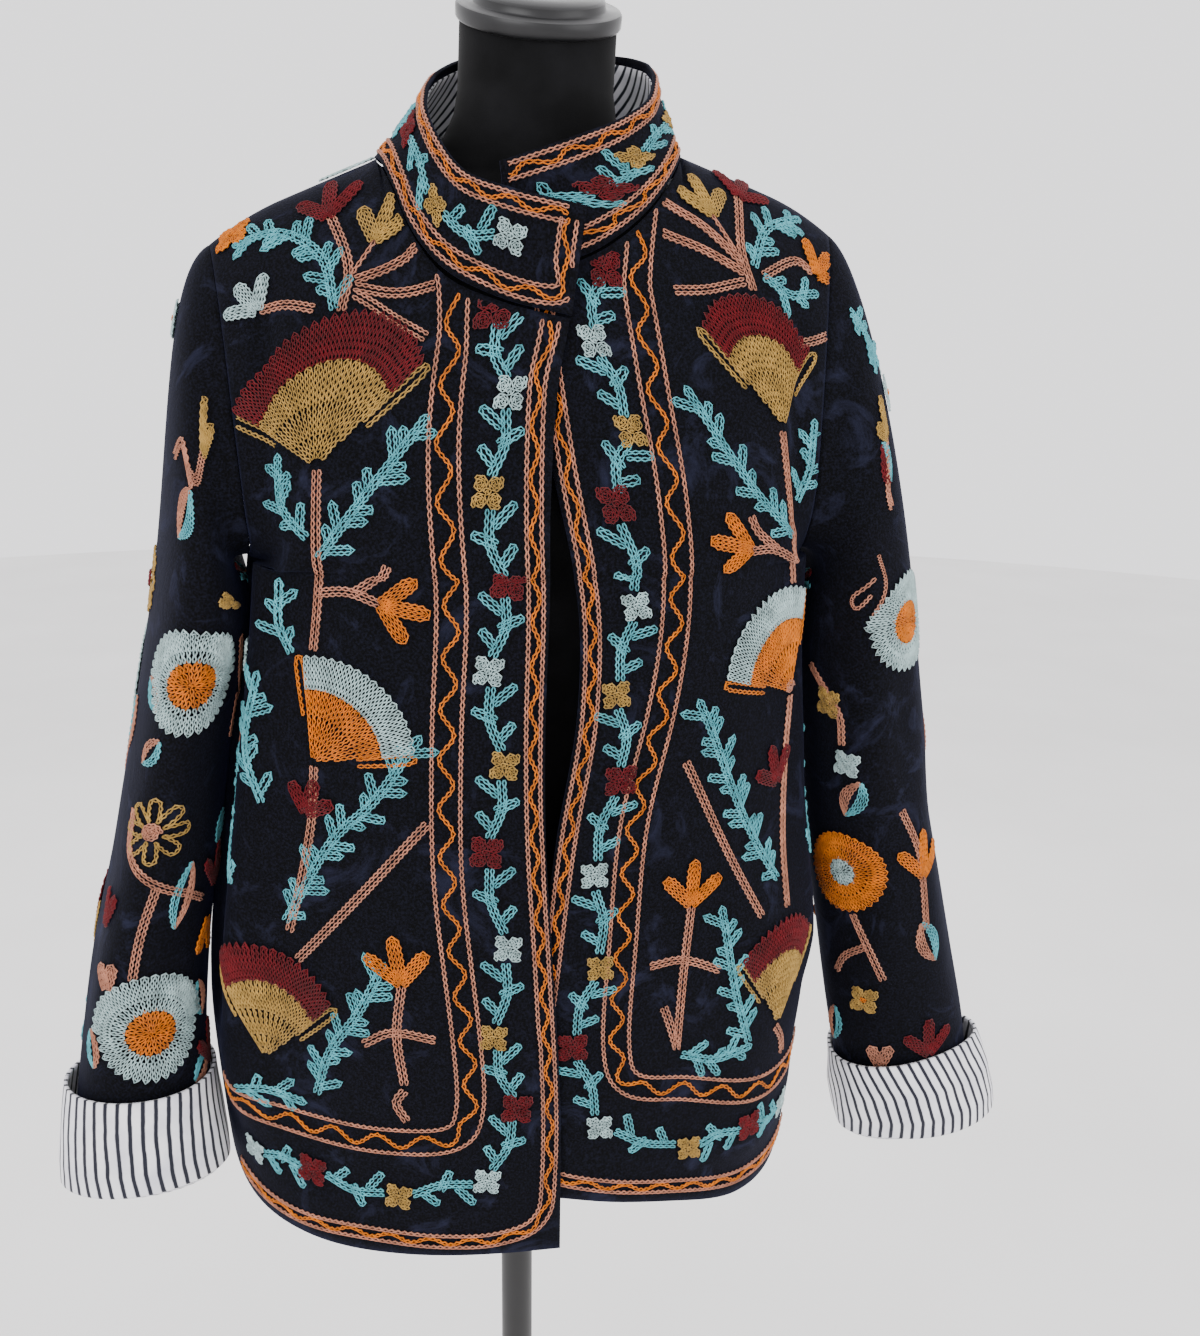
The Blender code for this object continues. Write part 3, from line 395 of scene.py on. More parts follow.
def high_body(side, face, s, climb):
    """Body between armpit (climb 0) and shoulder line (climb 1), closing towards y = 0."""
    power = 2 / SECTION_POWER
    rise_power, fade_power = (BACK_RISE, BACK_FADE) if face > 0 else (FRONT_RISE, FRONT_FADE)
    rise = np.sin(climb * math.pi / 2) ** rise_power
    fade = np.clip(np.cos(climb * math.pi / 2), 0.0, 1.0) ** fade_power
    depth = TORSO[-1][TORSO_NAMES.index("back_depth" if face > 0 else "front_depth")]
    middle = TORSO[-1][TORSO_NAMES.index("middle")]
    half_width = column(ARMHOLE, ARMHOLE_NAMES, "half_width", climb)
    last = end_angle(climb)
    centre_z = ARMPIT_Z + (shoulder_height(middle) - ARMPIT_Z) * rise
    start = 0.0 if face > 0 else centre_angle(side, centre_z, half_width, middle)
    angle = start + (last - start) * s
    x = middle + side * half_width * signed_power(np.sin(angle) / np.sin(last), power)
    y = face * depth * fade * np.abs(np.cos(angle)) ** power
    z = ARMPIT_Z + (shoulder_height(x) - ARMPIT_Z) * rise
    return np.stack([x, y, z], axis=-1)


def neck_share(side, face):
    """Share of the panel's top edge that the neckline takes, found by halving."""
    neck_x = (NECK_RIGHT if side == RIGHT else NECK_LEFT)[-1][0]
    low, high = 0.0, 1.0
    for _ in range(HALVINGS):
        half = (low + high) / 2
        reach = high_body(side, face, np.array([half]), np.array([1.0]))[0, 0]
        low, high = (half, high) if side * (reach - neck_x) < 0 else (low, half)
    return (low + high) / 2


def neckline(side, face, share):
    """Neckline points of a panel, from its centre (0) to the shoulder (1)."""
    if face < 0:
        return along(NECK_RIGHT if side == RIGHT else NECK_LEFT, share)
    return along(NECK_BACK, 0.5 + side * share / 2)


def share_across(side, face, s):
    """Share of the neckline that lies as far across the body as each column's own top."""
    own = side * high_body(side, face, s, np.ones_like(s))[..., 0]
    shares = np.linspace(0.0, 1.0, NECK_SAMPLES)
    return np.interp(own, side * neckline(side, face, shares)[:, 0], shares)


def climb_to(side, face, s, height):
    """Climb at which each column of the upper body reaches a height, found by halving."""
    low, high = np.zeros_like(s), np.ones_like(s)
    for _ in range(HALVINGS):
        half = (low + high) / 2
        under = high_body(side, face, s, half)[..., 2] < height
        low, high = np.where(under, half, low), np.where(under, high, half)
    return (low + high) / 2


def panel_points(side, face, s, t):
    """Half of the body: s from the centre to the side, t from hem (0) by armpit (1) to top (2)."""
    low = low_body(side, face, s, np.clip(t, 0.0, 1.0))
    climb = np.clip(t - 1, 0.0, 1.0)
    edge = neck_share(side, face)
    share = share_across(side, face, s)
    target = neckline(side, face, share)
    stop = np.where(s < edge, climb_to(side, face, s, target[..., 2]), 1.0)
    high = high_body(side, face, s, climb * stop)
    miss = target - high_body(side, face, s, stop)
    near = (ease((climb - NECK_BLEND) / (1 - NECK_BLEND)) * (s <= edge))[..., None]
    high = high + miss * near
    return np.where((t <= 1.0)[..., None], low, high)


def fold_height(panel, s, t):
    """Height of a panel's folds: each a bell across its line, fading at both ends."""
    height = np.zeros_like(s)
    for name, s0, t0, s1, t1, width, size in FOLDS:
        if name != panel:
            continue
        run = np.array([(s1 - s0) * PANEL_WIDTH, (t1 - t0) * PANEL_HEIGHT])
        length = np.hypot(*run)
        dx, dy = (s - s0) * PANEL_WIDTH, (t - t0) * PANEL_HEIGHT
        along_line = (dx * run[0] + dy * run[1]) / length
        off_line = (dx * run[1] - dy * run[0]) / length
        ends = (ease(along_line / (FOLD_TOP * length))
                * ease((length - along_line) / (FOLD_FOOT * length)))
        height = height + size * ends * np.exp(-((off_line / width) ** 2))
    return height


def fold_room(s, t):
    """Share of its height that a fold keeps near the side seam and the shoulder."""
    return ease((1 - s) / FOLD_SIDE_FADE) * ease((2 - t) / FOLD_TOP_FADE)


def seam_share(s, t):
    """Each panel's own share of the gap at its side seam and its shoulder seam."""
    farthest = np.maximum(s, t - 1)
    near = ease((farthest - SEAM_START) / (1 - SEAM_START))
    return SEAM_GAP * (0.5 + near)


def sleeve_ring(side, angle, height):
    """Ring of the hanging sleeve: an ellipse between its outer and inner outline, slightly yawed."""
    rows = SLEEVE[side]
    outer = column(rows, SLEEVE_NAMES, "outer", height)
    inner = column(rows, SLEEVE_NAMES, "inner", height)
    depth = column(rows, SLEEVE_NAMES, "half_depth", height)
    yaw = np.radians(column(rows, SLEEVE_NAMES, "yaw", height))
    reach = (outer - inner) / 2
    half_width = np.sqrt(np.maximum(reach ** 2 - (depth * np.sin(yaw)) ** 2, 0.0)) / np.cos(yaw)
    tilt = math.radians(SLEEVE_TILT[side])
    cosine, sine = np.cos(angle), np.sin(angle)
    out = half_width * cosine * np.cos(yaw) - depth * sine * np.sin(yaw)
    x = side * ((outer + inner) / 2 + out)
    y = column(rows, SLEEVE_NAMES, "middle_y", height) - half_width * cosine * np.sin(yaw)
    y = y - depth * sine * np.cos(yaw)
    lean = math.radians(SLEEVE_LEAN[side]) * ease((rows[0][0] - height) / LEAN_RUN)
    z = height + np.tan(tilt) * out + np.tan(lean) * depth * sine
    return np.stack([x, y, z], axis=-1)


def armhole_ring(side, angle):
    """Armhole loop: down the front's edge from the shoulder to the armpit, up the back's edge."""
    climb = 1 - np.sin(np.minimum(angle, 2 * math.pi - angle) / 2)
    edge = np.ones_like(angle)
    front = high_body(side, -1.0, edge, climb)
    back = high_body(side, 1.0, edge, climb)
    return np.where((angle <= math.pi)[..., None], front, back)


def sleeve_points(side, angle, station):
    """Sleeve: station -1 to 0 curves from the armhole over the cap, 0 to 1 hangs down the arm."""
    heights = [row[0] for row in SLEEVE[side]]
    height = heights[0] + (heights[-1] - heights[0]) * np.clip(station, 0.0, 1.0)
    hanging = sleeve_ring(side, angle, height)
    start = armhole_ring(side, angle)
    end = sleeve_ring(side, angle, np.full_like(angle, heights[0]))
    below = sleeve_ring(side, angle, np.full_like(angle, heights[0] - RING_STEP))
    top_share = ((1 + np.cos(angle)) / 2)[..., None]
    lead_out = np.stack([np.full_like(angle, side), 0 * angle, -CAP_DROP * top_share[..., 0]], -1)
    lead_out = lead_out / np.linalg.norm(lead_out, axis=-1, keepdims=True)
    lead_in = (end - below) / np.linalg.norm(end - below, axis=-1, keepdims=True)
    first = start + lead_out * (UNDERARM_OUT + (CAP_OUT - UNDERARM_OUT) * top_share)
    second = end + lead_in * (UNDERARM_PULL + (CAP_PULL - UNDERARM_PULL) * top_share)
    f = np.clip(station + 1, 0.0, 1.0)[..., None]
    curve = start * (1 - f) ** 3 + 3 * first * f * (1 - f) ** 2 + 3 * second * f * f * (1 - f)
    curve = curve + end * f ** 3
    return np.where((station < 0)[..., None], curve, hanging)


def crease_height(side, angle, height):
    """Height of a sleeve's creases: a bell round the arm, fading along it."""
    total = np.zeros_like(angle)
    for crease_side, middle, top, bottom, width, size in CREASES:
        if crease_side != side:
            continue
        turn = (np.degrees(angle) - middle + 180) % 360 - 180
        ends = ease((top - height) / CREASE_FADE) * ease((height - bottom) / CREASE_FADE)
        total = total + size * ends * np.exp(-((turn / width) ** 2))
    return total


def front_surface(side, s, t):
    """Outer side of one front: the panel, its folds along its normals, and the lap's depth."""
    points, normal = with_normals(lambda p, q: panel_points(side, -1.0, p, q), s, t)
    normal = normal * side
    height = fold_height("front_" + SIDE_NAMES[side], s, t) * fold_room(s, t)
    points = points + normal * height[..., None]
    if side == LEFT:
        edge = panel_points(side, -1.0, np.zeros_like(s), t)[..., 0]
        points[..., 1] += UNDERLAP_DEPTH * ease(1 - (points[..., 0] - edge) / UNDERLAP_WIDTH)
    points[..., 1] -= seam_share(s, t)
    return points, normal


def back_surface(side, s, t):
    """Outer side of one half of the back, with its folds along its normals."""
    points, normal = with_normals(lambda p, q: panel_points(side, 1.0, p, q), s, t)
    normal = -normal * side
    across = 0.5 + side * s / 2
    height = fold_height("back", across, t) * fold_room(s, t)
    points = points + normal * height[..., None]
    points[..., 1] += seam_share(s, t)
    return points, normal


def sleeve_surface(side, angle, station):
    """Outer side of one sleeve, with its creases pushed level from the arm's middle line."""
    points, normal = with_normals(lambda p, q: sleeve_points(side, p, q), angle, station)
    normal = normal * side
    turns = np.linspace(0.0, 2 * math.pi, 24, endpoint=False)
    stations = np.linspace(-1.0, 1.0, 81)
    middles = sleeve_points(side, *np.meshgrid(turns, stations)).mean(axis=1)
    middle = np.stack([np.interp(station, stations, middles[:, k]) for k in range(3)], axis=-1)
    away = points - middle
    away[..., 2] = 0.0
    away = away / np.maximum(np.linalg.norm(away, axis=-1, keepdims=True), 1e-6)
    free = ease((station + 1) / 0.4) * ease((1 - station) / 0.1)
    points = points + away * (crease_height(side, angle, points[..., 2]) * free)[..., None]
    points[..., 0] += side * ARMHOLE_GAP * ease((-0.7 - station) / 0.3)
    turned_in = np.clip(-np.cos(angle), 0.0, 1.0) ** 4 * ease((station + 0.9) / 0.5)
    hang = ease((points[..., 2] - SLACK_FOOT) / (ARMPIT_Z - SLACK_FOOT))
    points[..., 0] -= side * UNDERARM_SLACK[side] * turned_in * hang
    return points, normal


def collar_surface(share, up):
    """Outer side of the collar: straight lines from seam to top edge, bowed along its normals."""
    def flat(p, q):
        band = along(COLLAR, p)
        points = band[..., :3] * (1 - q)[..., None] + band[..., 3:] * q[..., None]
        points[..., 2] += COLLAR_LIFT
        return points
    points, normal = with_normals(flat, share, up)
    normal = -normal
    return points + normal * (COLLAR_BOW * np.sin(math.pi * up))[..., None], normal


def cuff_surface(side, angle, up):
    """Outer side of one cuff: the sleeve's end ring moved out, up the turned band (0 to 1)."""
    fold_z = SLEEVE[side][-1][0]
    heights = [row[0] for row in CUFF]
    offs = [row[CUFF_NAMES.index(SIDE_NAMES[side])] for row in CUFF]
    steps = np.linspace(0.0, 1.0, len(CUFF))
    height, stand_off = np.interp(up, steps, heights), np.interp(up, steps, offs)
    base = sleeve_ring(side, angle, fold_z + np.maximum(height, 0.0))
    turns = np.linspace(0.0, 2 * math.pi, 30, endpoint=False)
    ring = sleeve_ring(side, turns, np.full_like(turns, fold_z))
    higher = sleeve_ring(side, turns, np.full_like(turns, fold_z + RING_STEP))
    line = (higher - ring).mean(axis=0)
    line = line / np.linalg.norm(line)
    away = sleeve_ring(side, angle, np.full_like(angle, fold_z)) - ring.mean(axis=0)
    away = away / np.linalg.norm(away, axis=-1, keepdims=True)
    share = np.clip(height / CUFF[-1][0], 0.0, 1.0)
    wave = CUFF_WAVE[side] * share * np.sin(3 * angle + 1.1)
    flare = CUFF_SAG[side] * (1 - share) * np.clip(np.cos(angle - 0.5), 0.0, 1.0)
    flare = flare * ease((height + 0.003) / 0.003)
    rumple = CUFF_RUMPLE[side] * share * (1 - share) * np.sin(7 * angle + 6 * share)
    points = base + line * np.minimum(height, 0.0)[..., None]
    return points + away * (stand_off + wave + flare + rumple)[..., None]


def with_normals(surface, p, q):
    """A surface's points, and unit normals from small steps along both of its parameters."""
    step = 1e-3
    points = surface(p, q)
    before, after = surface(np.maximum(p - step, 0.0), q), surface(p + step, q)
    under, over = surface(p, q - step), surface(p, q + step)
    normal = np.cross(after - before, over - under)
    return points, normal / np.maximum(np.linalg.norm(normal, axis=-1, keepdims=True), 1e-12)


def make_chart(base, across, rows, reference, closed=False):
    """Chart of a piece of cloth: lengths along each row, and lengths up one reference column.

    A place is (a, b): a metres along the row from its start, b metres up the reference column.
    """
    p, q = np.meshgrid(across, rows)
    points = base(p, q)
    steps = np.linalg.norm(np.diff(points, axis=1), axis=-1)
    lengths = np.concatenate([np.zeros((len(rows), 1)), np.cumsum(steps, axis=1)], axis=1)
    shares = np.linspace(0.0, 1.0, len(across))
    inverse = np.stack([np.interp(shares * row[-1], row, across) for row in lengths])
    level = 0 if closed else 1
    rise = np.linalg.norm(np.diff(points[:, reference, level:], axis=0), axis=-1)
    up = np.concatenate([[0.0], np.cumsum(rise)])
    return {"rows": rows, "total": lengths[:, -1], "inverse": inverse, "up": up, "closed": closed}


def chart_place(chart, a, b):
    """Surface parameters of a place on the cloth, read from its chart between rows and columns."""
    row = np.interp(b, chart["up"], np.arange(len(chart["rows"])))
    total = np.interp(row, np.arange(len(chart["rows"])), chart["total"])
    share = a / total
    share = share % 1.0 if chart["closed"] else np.clip(share, 0.0, 1.0)
    grid = chart["inverse"]
    place = share * (grid.shape[1] - 1)
    low = np.clip(row.astype(int), 0, grid.shape[0] - 2)
    left = np.clip(place.astype(int), 0, grid.shape[1] - 2)
    f, g = row - low, place - left
    lower = grid[low, left] * (1 - g) + grid[low, left + 1] * g
    upper = grid[low + 1, left] * (1 - g) + grid[low + 1, left + 1] * g
    return lower * (1 - f) + upper * f, np.interp(b, chart["up"], chart["rows"])


def body_base(side, face):
    """Unclipped half of the body, from its hem (0) by the armpit (1) to the shoulder line (2)."""
    def base(s, q):
        low = low_body(side, face, s, np.clip(q, 0.0, 1.0))
        high = high_body(side, face, s, np.clip(q - 1, 0.0, 1.0))
        return np.where((q <= 1.0)[..., None], low, high)
    return base


def body_lay(side, face):
    """Chart of one front or half back, and a function that lays places on its real surface.

    It also says which places lie on the cloth, clear of its centre edge, neckline and seams.
    """
    rows = np.concatenate([np.linspace(0.0, 1.0, 61), 1 + np.linspace(0.0, 1.0, 121)[1:] ** 2])
    chart = make_chart(body_base(side, face), np.linspace(0.0, 1.0, 201), rows, 90)
    edge = neck_share(side, face)

    def lay(a, b):
        s, q = chart_place(chart, a, b)
        target = neckline(side, face, share_across(side, face, s))
        stop = np.where(s < edge, climb_to(side, face, s, target[..., 2]), 1.0)
        t = np.where(q > 1, 1 + np.minimum((q - 1) / stop, 1.0), q)
        surface = back_surface if face > 0 else front_surface
        points, normal = surface(side, s, t)
        return points, normal, (t < CLOTH_TOP) & (s < CLOTH_SIDE) & (b > CLOTH_HEM)
    return chart, lay


def sleeve_lay(side):
    """Chart of one sleeve and its laying function: a round from the outer line, b from the end."""
    angles = np.linspace(0.0, 2 * math.pi, 241)
    rows = np.linspace(1.0, -1.0, 161)
    chart = make_chart(lambda p, q: sleeve_points(side, p, q), angles, rows, 0, closed=True)

    def lay(a, b):
        angle, station = chart_place(chart, a, b)
        points, normal = sleeve_surface(side, angle, station)
        return points, normal, (station > CLOTH_CAP) & (station < CLOTH_END)
    return chart, lay


def collar_lay():
    """Chart of the collar and its laying function: a from the lapped tab's end, b from the seam."""
    shares = np.linspace(0.0, 1.0, 401)
    rows = np.linspace(0.0, 1.0, 9)
    chart = make_chart(lambda p, q: collar_surface(p, q)[0], shares, rows, 20)

    def lay(a, b):
        share, up = chart_place(chart, a, b)
        points, normal = collar_surface(share, up)
        return points, normal, (share > CLOTH_TAB) & (share < 1 - CLOTH_TAB)
    return chart, lay


def srgb(code):
    """Linear colour of an sRGB hex code such as #07070b."""
    values = np.array([int(code[k:k + 2], 16) for k in (1, 3, 5)]) / 255.0
    linear = np.where(values <= 0.04045, values / 12.92, ((values + 0.055) / 1.055) ** 2.4)
    return (*linear.tolist(), 1.0)


def add_node(tree, kind, inputs=None, **settings):
    """Add one shader node, set its properties, and set or link its inputs."""
    node = tree.nodes.new(kind)
    for name, value in settings.items():
        setattr(node, name, value)
    for name, value in (inputs or {}).items():
        if isinstance(value, bpy.types.NodeSocket):
            tree.links.new(value, node.inputs[name])
        else:
            node.inputs[name].default_value = value
    return node


def new_material(name):
    """Empty node material with an output, and its node tree."""
    made = bpy.data.materials.new(name)
    made.use_nodes = True
    made.node_tree.nodes.clear()
    return made, made.node_tree


def finish_material(made, looks):
    """Give a material its one surface, and return it."""
    tree = made.node_tree
    surface = add_node(tree, "ShaderNodeBsdfPrincipled", looks)
    add_node(tree, "ShaderNodeOutputMaterial", {"Surface": surface.outputs["BSDF"]})
    return made


# Sockets of a colour mix, which Blender tells apart only by their numbers
FACTOR, FIRST, SECOND, BLEND = 0, 6, 7, 2

# Noise scales of the finishes: 1000 divided by the size of one patch in millimetres. Pile, weave,
# fibre, knit and paint are finer in life than their 0.7 to 1.4 mm here, and wouldn't show.
CRUSHED_45MM, TUFTS_1MM = 22.0, 700.0
WOBBLE_11MM, WEAVE_1MM, CREASES_17MM = 90.0, 900.0, 60.0
DYE_8MM, FIBRE_1MM = 120.0, 1400.0
KNIT_1MM, WEAR_29MM = 1100.0, 35.0
GLOSS_25MM, PAINT_1MM, FLOOR_500MM = 40.0, 900.0, 2.0
YARN_SHADE = 0.55


def blended(tree, noise, low, high, first, second):
    """Colour that goes from the first to the second as a noise goes from low to high."""
    share = add_node(tree, "ShaderNodeMapRange", {"Value": noise, "From Min": low, "From Max": high})
    return add_node(tree, "ShaderNodeMix",
                    {FACTOR: share.outputs["Result"], FIRST: first, SECOND: second},
                    data_type="RGBA").outputs[BLEND]


def velvet_material(pile, sheen):
    """Cotton velvet: short upright pile, deep black head-on, with a painted navy sheen in its colour
    where the pile is crushed and on the pile's tips.
    """
    made, tree = new_material("black_cotton_velvet")
    place = add_node(tree, "ShaderNodeTexCoord").outputs["Object"]
    crushed_relief_and_sheen = add_node(tree, "ShaderNodeTexNoise",
                     {"Vector": place, "Scale": CRUSHED_45MM, "Detail": 6.0, "Roughness": 0.68,
                      "Distortion": 1.4}).outputs["Fac"]
    tuft_relief_and_sheen = add_node(tree, "ShaderNodeTexNoise",
                     {"Vector": place, "Scale": TUFTS_1MM, "Detail": 2.0}).outputs["Fac"]
    # Painted sheen: the crushed patches and the pile's tips go from the black head-on colour towards
    # the lighter navy. The same noises also give the real bumps.
    colour = blended(tree, crushed_relief_and_sheen, 0.55, 0.72, pile, sheen)
    pile_tip_sheen = blended(tree, tuft_relief_and_sheen, 0.40, 0.75, colour, sheen)
    tone = add_node(tree, "ShaderNodeMix", {FACTOR: 0.35, FIRST: colour, SECOND: pile_tip_sheen},
                    data_type="RGBA").outputs[BLEND]
    bump = add_node(tree, "ShaderNodeBump",
                    {"Strength": 0.35, "Distance": 0.0006, "Height": tuft_relief_and_sheen}).outputs["Normal"]
    wide = add_node(tree, "ShaderNodeBump", {"Strength": 0.30, "Distance": 0.003, "Height": crushed_relief_and_sheen,
                                             "Normal": bump}).outputs["Normal"]
    return finish_material(made, {"Base Color": tone, "Roughness": 0.95, "Specular IOR Level": 0.10,
                                  "Sheen Weight": 0.16, "Sheen Roughness": 0.40,
                                  "Sheen Tint": srgb("#4a5080"), "Normal": wide})


def striped_material(white, stripe, pitch, line):
    """Plain-woven cotton with printed pinstripes, set by lengths in its own UV map, in metres."""
    made, tree = new_material("striped_cotton_poplin")
    uv = add_node(tree, "ShaderNodeUVMap", uv_map="cloth").outputs["UV"]
    place = add_node(tree, "ShaderNodeTexCoord").outputs["Object"]
    wobble = add_node(tree, "ShaderNodeTexNoise",
                      {"Vector": place, "Scale": WOBBLE_11MM, "Detail": 2.0}).outputs["Fac"]
    across = add_node(tree, "ShaderNodeSeparateXYZ", {"Vector": uv}).outputs["X"]
    shift = add_node(tree, "ShaderNodeMath", {0: wobble, 1: 0.0012}, operation="MULTIPLY")
    moved = add_node(tree, "ShaderNodeMath", {0: across, 1: shift.outputs[0]}, operation="ADD")
    wrapped = add_node(tree, "ShaderNodeMath", {0: moved.outputs[0], 1: pitch / 2, 2: -pitch / 2},
                       operation="WRAP")
    off = add_node(tree, "ShaderNodeMath", {0: wrapped.outputs[0]}, operation="ABSOLUTE")
    weave = add_node(tree, "ShaderNodeTexNoise",
                     {"Vector": place, "Scale": WEAVE_1MM, "Detail": 2.0}).outputs["Fac"]
    soft = add_node(tree, "ShaderNodeTexNoise",
                    {"Vector": place, "Scale": CREASES_17MM, "Detail": 3.0}).outputs["Fac"]
    cloth = blended(tree, soft, 0.35, 0.75, white, srgb("#d3d2dc"))
    printed = blended(tree, off.outputs[0], line * 0.62, line * 0.38, cloth, stripe)
    bump = add_node(tree, "ShaderNodeBump",
                    {"Strength": 0.25, "Distance": 0.0004, "Height": weave}).outputs["Normal"]
    rumple = add_node(tree, "ShaderNodeBump", {"Strength": 0.35, "Distance": 0.004, "Height": soft,
                                               "Normal": bump}).outputs["Normal"]
    return finish_material(made, {"Base Color": printed, "Roughness": 0.88, "Specular IOR Level": 0.25,
                                  "Sheen Weight": 0.15, "Normal": rumple})


def yarn_material(name, colour, shade):
    """Loosely twisted cotton yarn, matt and a little hairy, dyed unevenly along its length."""
    made, tree = new_material(name)
    place = add_node(tree, "ShaderNodeTexCoord").outputs["Object"]
    dye = add_node(tree, "ShaderNodeTexNoise",
                   {"Vector": place, "Scale": DYE_8MM, "Detail": 3.0}).outputs["Fac"]
    fibre = add_node(tree, "ShaderNodeTexNoise",
                     {"Vector": place, "Scale": FIBRE_1MM, "Detail": 2.0,
                      "Distortion": 1.0}).outputs["Fac"]
    dyed = blended(tree, dye, 0.30, 0.70, shade, colour)
    bump = add_node(tree, "ShaderNodeBump",
                    {"Strength": 0.6, "Distance": 0.0005, "Height": fibre}).outputs["Normal"]
    return finish_material(made, {"Base Color": dyed, "Roughness": 0.78, "Specular IOR Level": 0.2,
                                  "Sheen Weight": 0.08, "Sheen Roughness": 0.5, "Normal": bump})


def jersey_material(colour):
    """Black stretch jersey over the form: matt, with a fine knit that only shows as a soft texture."""
    made, tree = new_material("black_jersey_cover")
    place = add_node(tree, "ShaderNodeTexCoord").outputs["Object"]
    knit = add_node(tree, "ShaderNodeTexNoise",
                    {"Vector": place, "Scale": KNIT_1MM, "Detail": 2.0}).outputs["Fac"]
    wear = add_node(tree, "ShaderNodeTexNoise",
                    {"Vector": place, "Scale": WEAR_29MM, "Detail": 4.0}).outputs["Fac"]
    tone = blended(tree, wear, 0.4, 0.8, colour, srgb("#121214"))
    bump = add_node(tree, "ShaderNodeBump",
                    {"Strength": 0.3, "Distance": 0.0004, "Height": knit}).outputs["Normal"]
    return finish_material(made, {"Base Color": tone, "Roughness": 0.9, "Specular IOR Level": 0.12,
                                  "Sheen Weight": 0.08, "Sheen Roughness": 0.4, "Normal": bump})


def metal_material(name, colour, roughness, metallic):
    """Painted or lacquered steel with faint wear: its gloss varies in cloudy patches."""
    made, tree = new_material(name)
    place = add_node(tree, "ShaderNodeTexCoord").outputs["Object"]
    cloud = add_node(tree, "ShaderNodeTexNoise",
                     {"Vector": place, "Scale": GLOSS_25MM, "Detail": 5.0}).outputs["Fac"]
    peel = add_node(tree, "ShaderNodeTexNoise",
                    {"Vector": place, "Scale": PAINT_1MM, "Detail": 1.0}).outputs["Fac"]
    gloss = add_node(tree, "ShaderNodeMapRange",
                     {"Value": cloud, "To Min": roughness - 0.08,
                      "To Max": roughness + 0.12}).outputs["Result"]
    wear = blended(tree, cloud, 0.3, 0.8, colour, srgb("#2c2c2e"))
    tone = add_node(tree, "ShaderNodeMix", {FACTOR: 0.4, FIRST: colour, SECOND: wear},
                    data_type="RGBA").outputs[BLEND]
    bump = add_node(tree, "ShaderNodeBump",
                    {"Strength": 0.08, "Distance": 0.0003, "Height": peel}).outputs["Normal"]
    return finish_material(made, {"Base Color": tone, "Roughness": gloss, "Metallic": metallic,
                                  "Normal": bump})


def floor_material(colour):
    """Matt painted floor, nearly even, with a faint cloudiness."""
    made, tree = new_material("pale_matt_floor")
    place = add_node(tree, "ShaderNodeTexCoord").outputs["Object"]
    cloud = add_node(tree, "ShaderNodeTexNoise",
                     {"Vector": place, "Scale": FLOOR_500MM, "Detail": 3.0}).outputs["Fac"]
    wear = blended(tree, cloud, 0.3, 0.7, colour, srgb("#dcdad8"))
    tone = add_node(tree, "ShaderNodeMix", {FACTOR: 0.3, FIRST: colour, SECOND: wear},
                    data_type="RGBA").outputs[BLEND]
    return finish_material(made, {"Base Color": tone, "Roughness": 0.9})


def grid_faces(rows, columns, closed, flip):
    """Corner numbers of the four-sided faces of a grid, joined round when closed."""
    index = np.arange(rows * columns).reshape(rows, columns)
    over = np.roll(index, -1, axis=1)
    if not closed:
        index, over = index[:, :-1], over[:, :-1]
    corners = [index[:-1], over[:-1], over[1:], index[1:]]
    if flip:
        corners.reverse()
    return np.stack([corner.ravel() for corner in corners], axis=1)


def new_mesh(name, points, faces, materials):
    """Smoothly shaded mesh with its materials."""
    mesh = bpy.data.meshes.new(name)
    mesh.from_pydata(points, [], faces)
    for material in materials:
        mesh.materials.append(material)
    mesh.shade_smooth()
    return mesh


def new_piece(mesh):
    """Object of a finished mesh, at the origin and linked to the scene."""
    mesh.update()
    made = bpy.data.objects.new(mesh.name, mesh)
    bpy.context.scene.collection.objects.link(made)
    return made


def grid_object(name, points, closed, flip, materials):
    """Mesh object over a grid of points, with a UV map of lengths along the cloth in metres."""
    rows, columns = points.shape[:2]
    mesh = new_mesh(name, points.reshape(-1, 3), grid_faces(rows, columns, closed, flip), materials)
    across, up = arc_lengths(points)
    wide = np.concatenate([across, across[:, -1:] * 2 - across[:, -2:-1]], axis=1)
    tall = np.concatenate([up, up[:, -1:]], axis=1)
    width = columns + 1 if closed else columns
    place = np.stack([wide, tall], axis=-1)[:, :width]
    order = grid_faces(rows, width, False, flip)
    layer = mesh.uv_layers.new(name="cloth")
    layer.data.foreach_set("uv", place.reshape(-1, 2)[order.ravel()].ravel())
    return new_piece(mesh)


def arc_lengths(points):
    """Lengths along each row and up each column of a grid, both from its first corner."""
    across = np.linalg.norm(np.diff(points, axis=1), axis=-1)
    across = np.concatenate([np.zeros((len(points), 1)), np.cumsum(across, axis=1)], axis=1)
    up = np.linalg.norm(np.diff(points, axis=0), axis=-1)
    up = np.concatenate([np.zeros((1, points.shape[1])), np.cumsum(up, axis=0)], axis=0)
    return across, up


def tight_places(side, face, s, t):
    """Where a panel bends too tightly for its full wall: by the armpit and at the neck point."""
    armpit = (np.abs(t - 1) < 0.07) & (s > 0.6)
    return armpit | ((np.abs(s - neck_share(side, face)) < 0.06) & (t > 1.88))


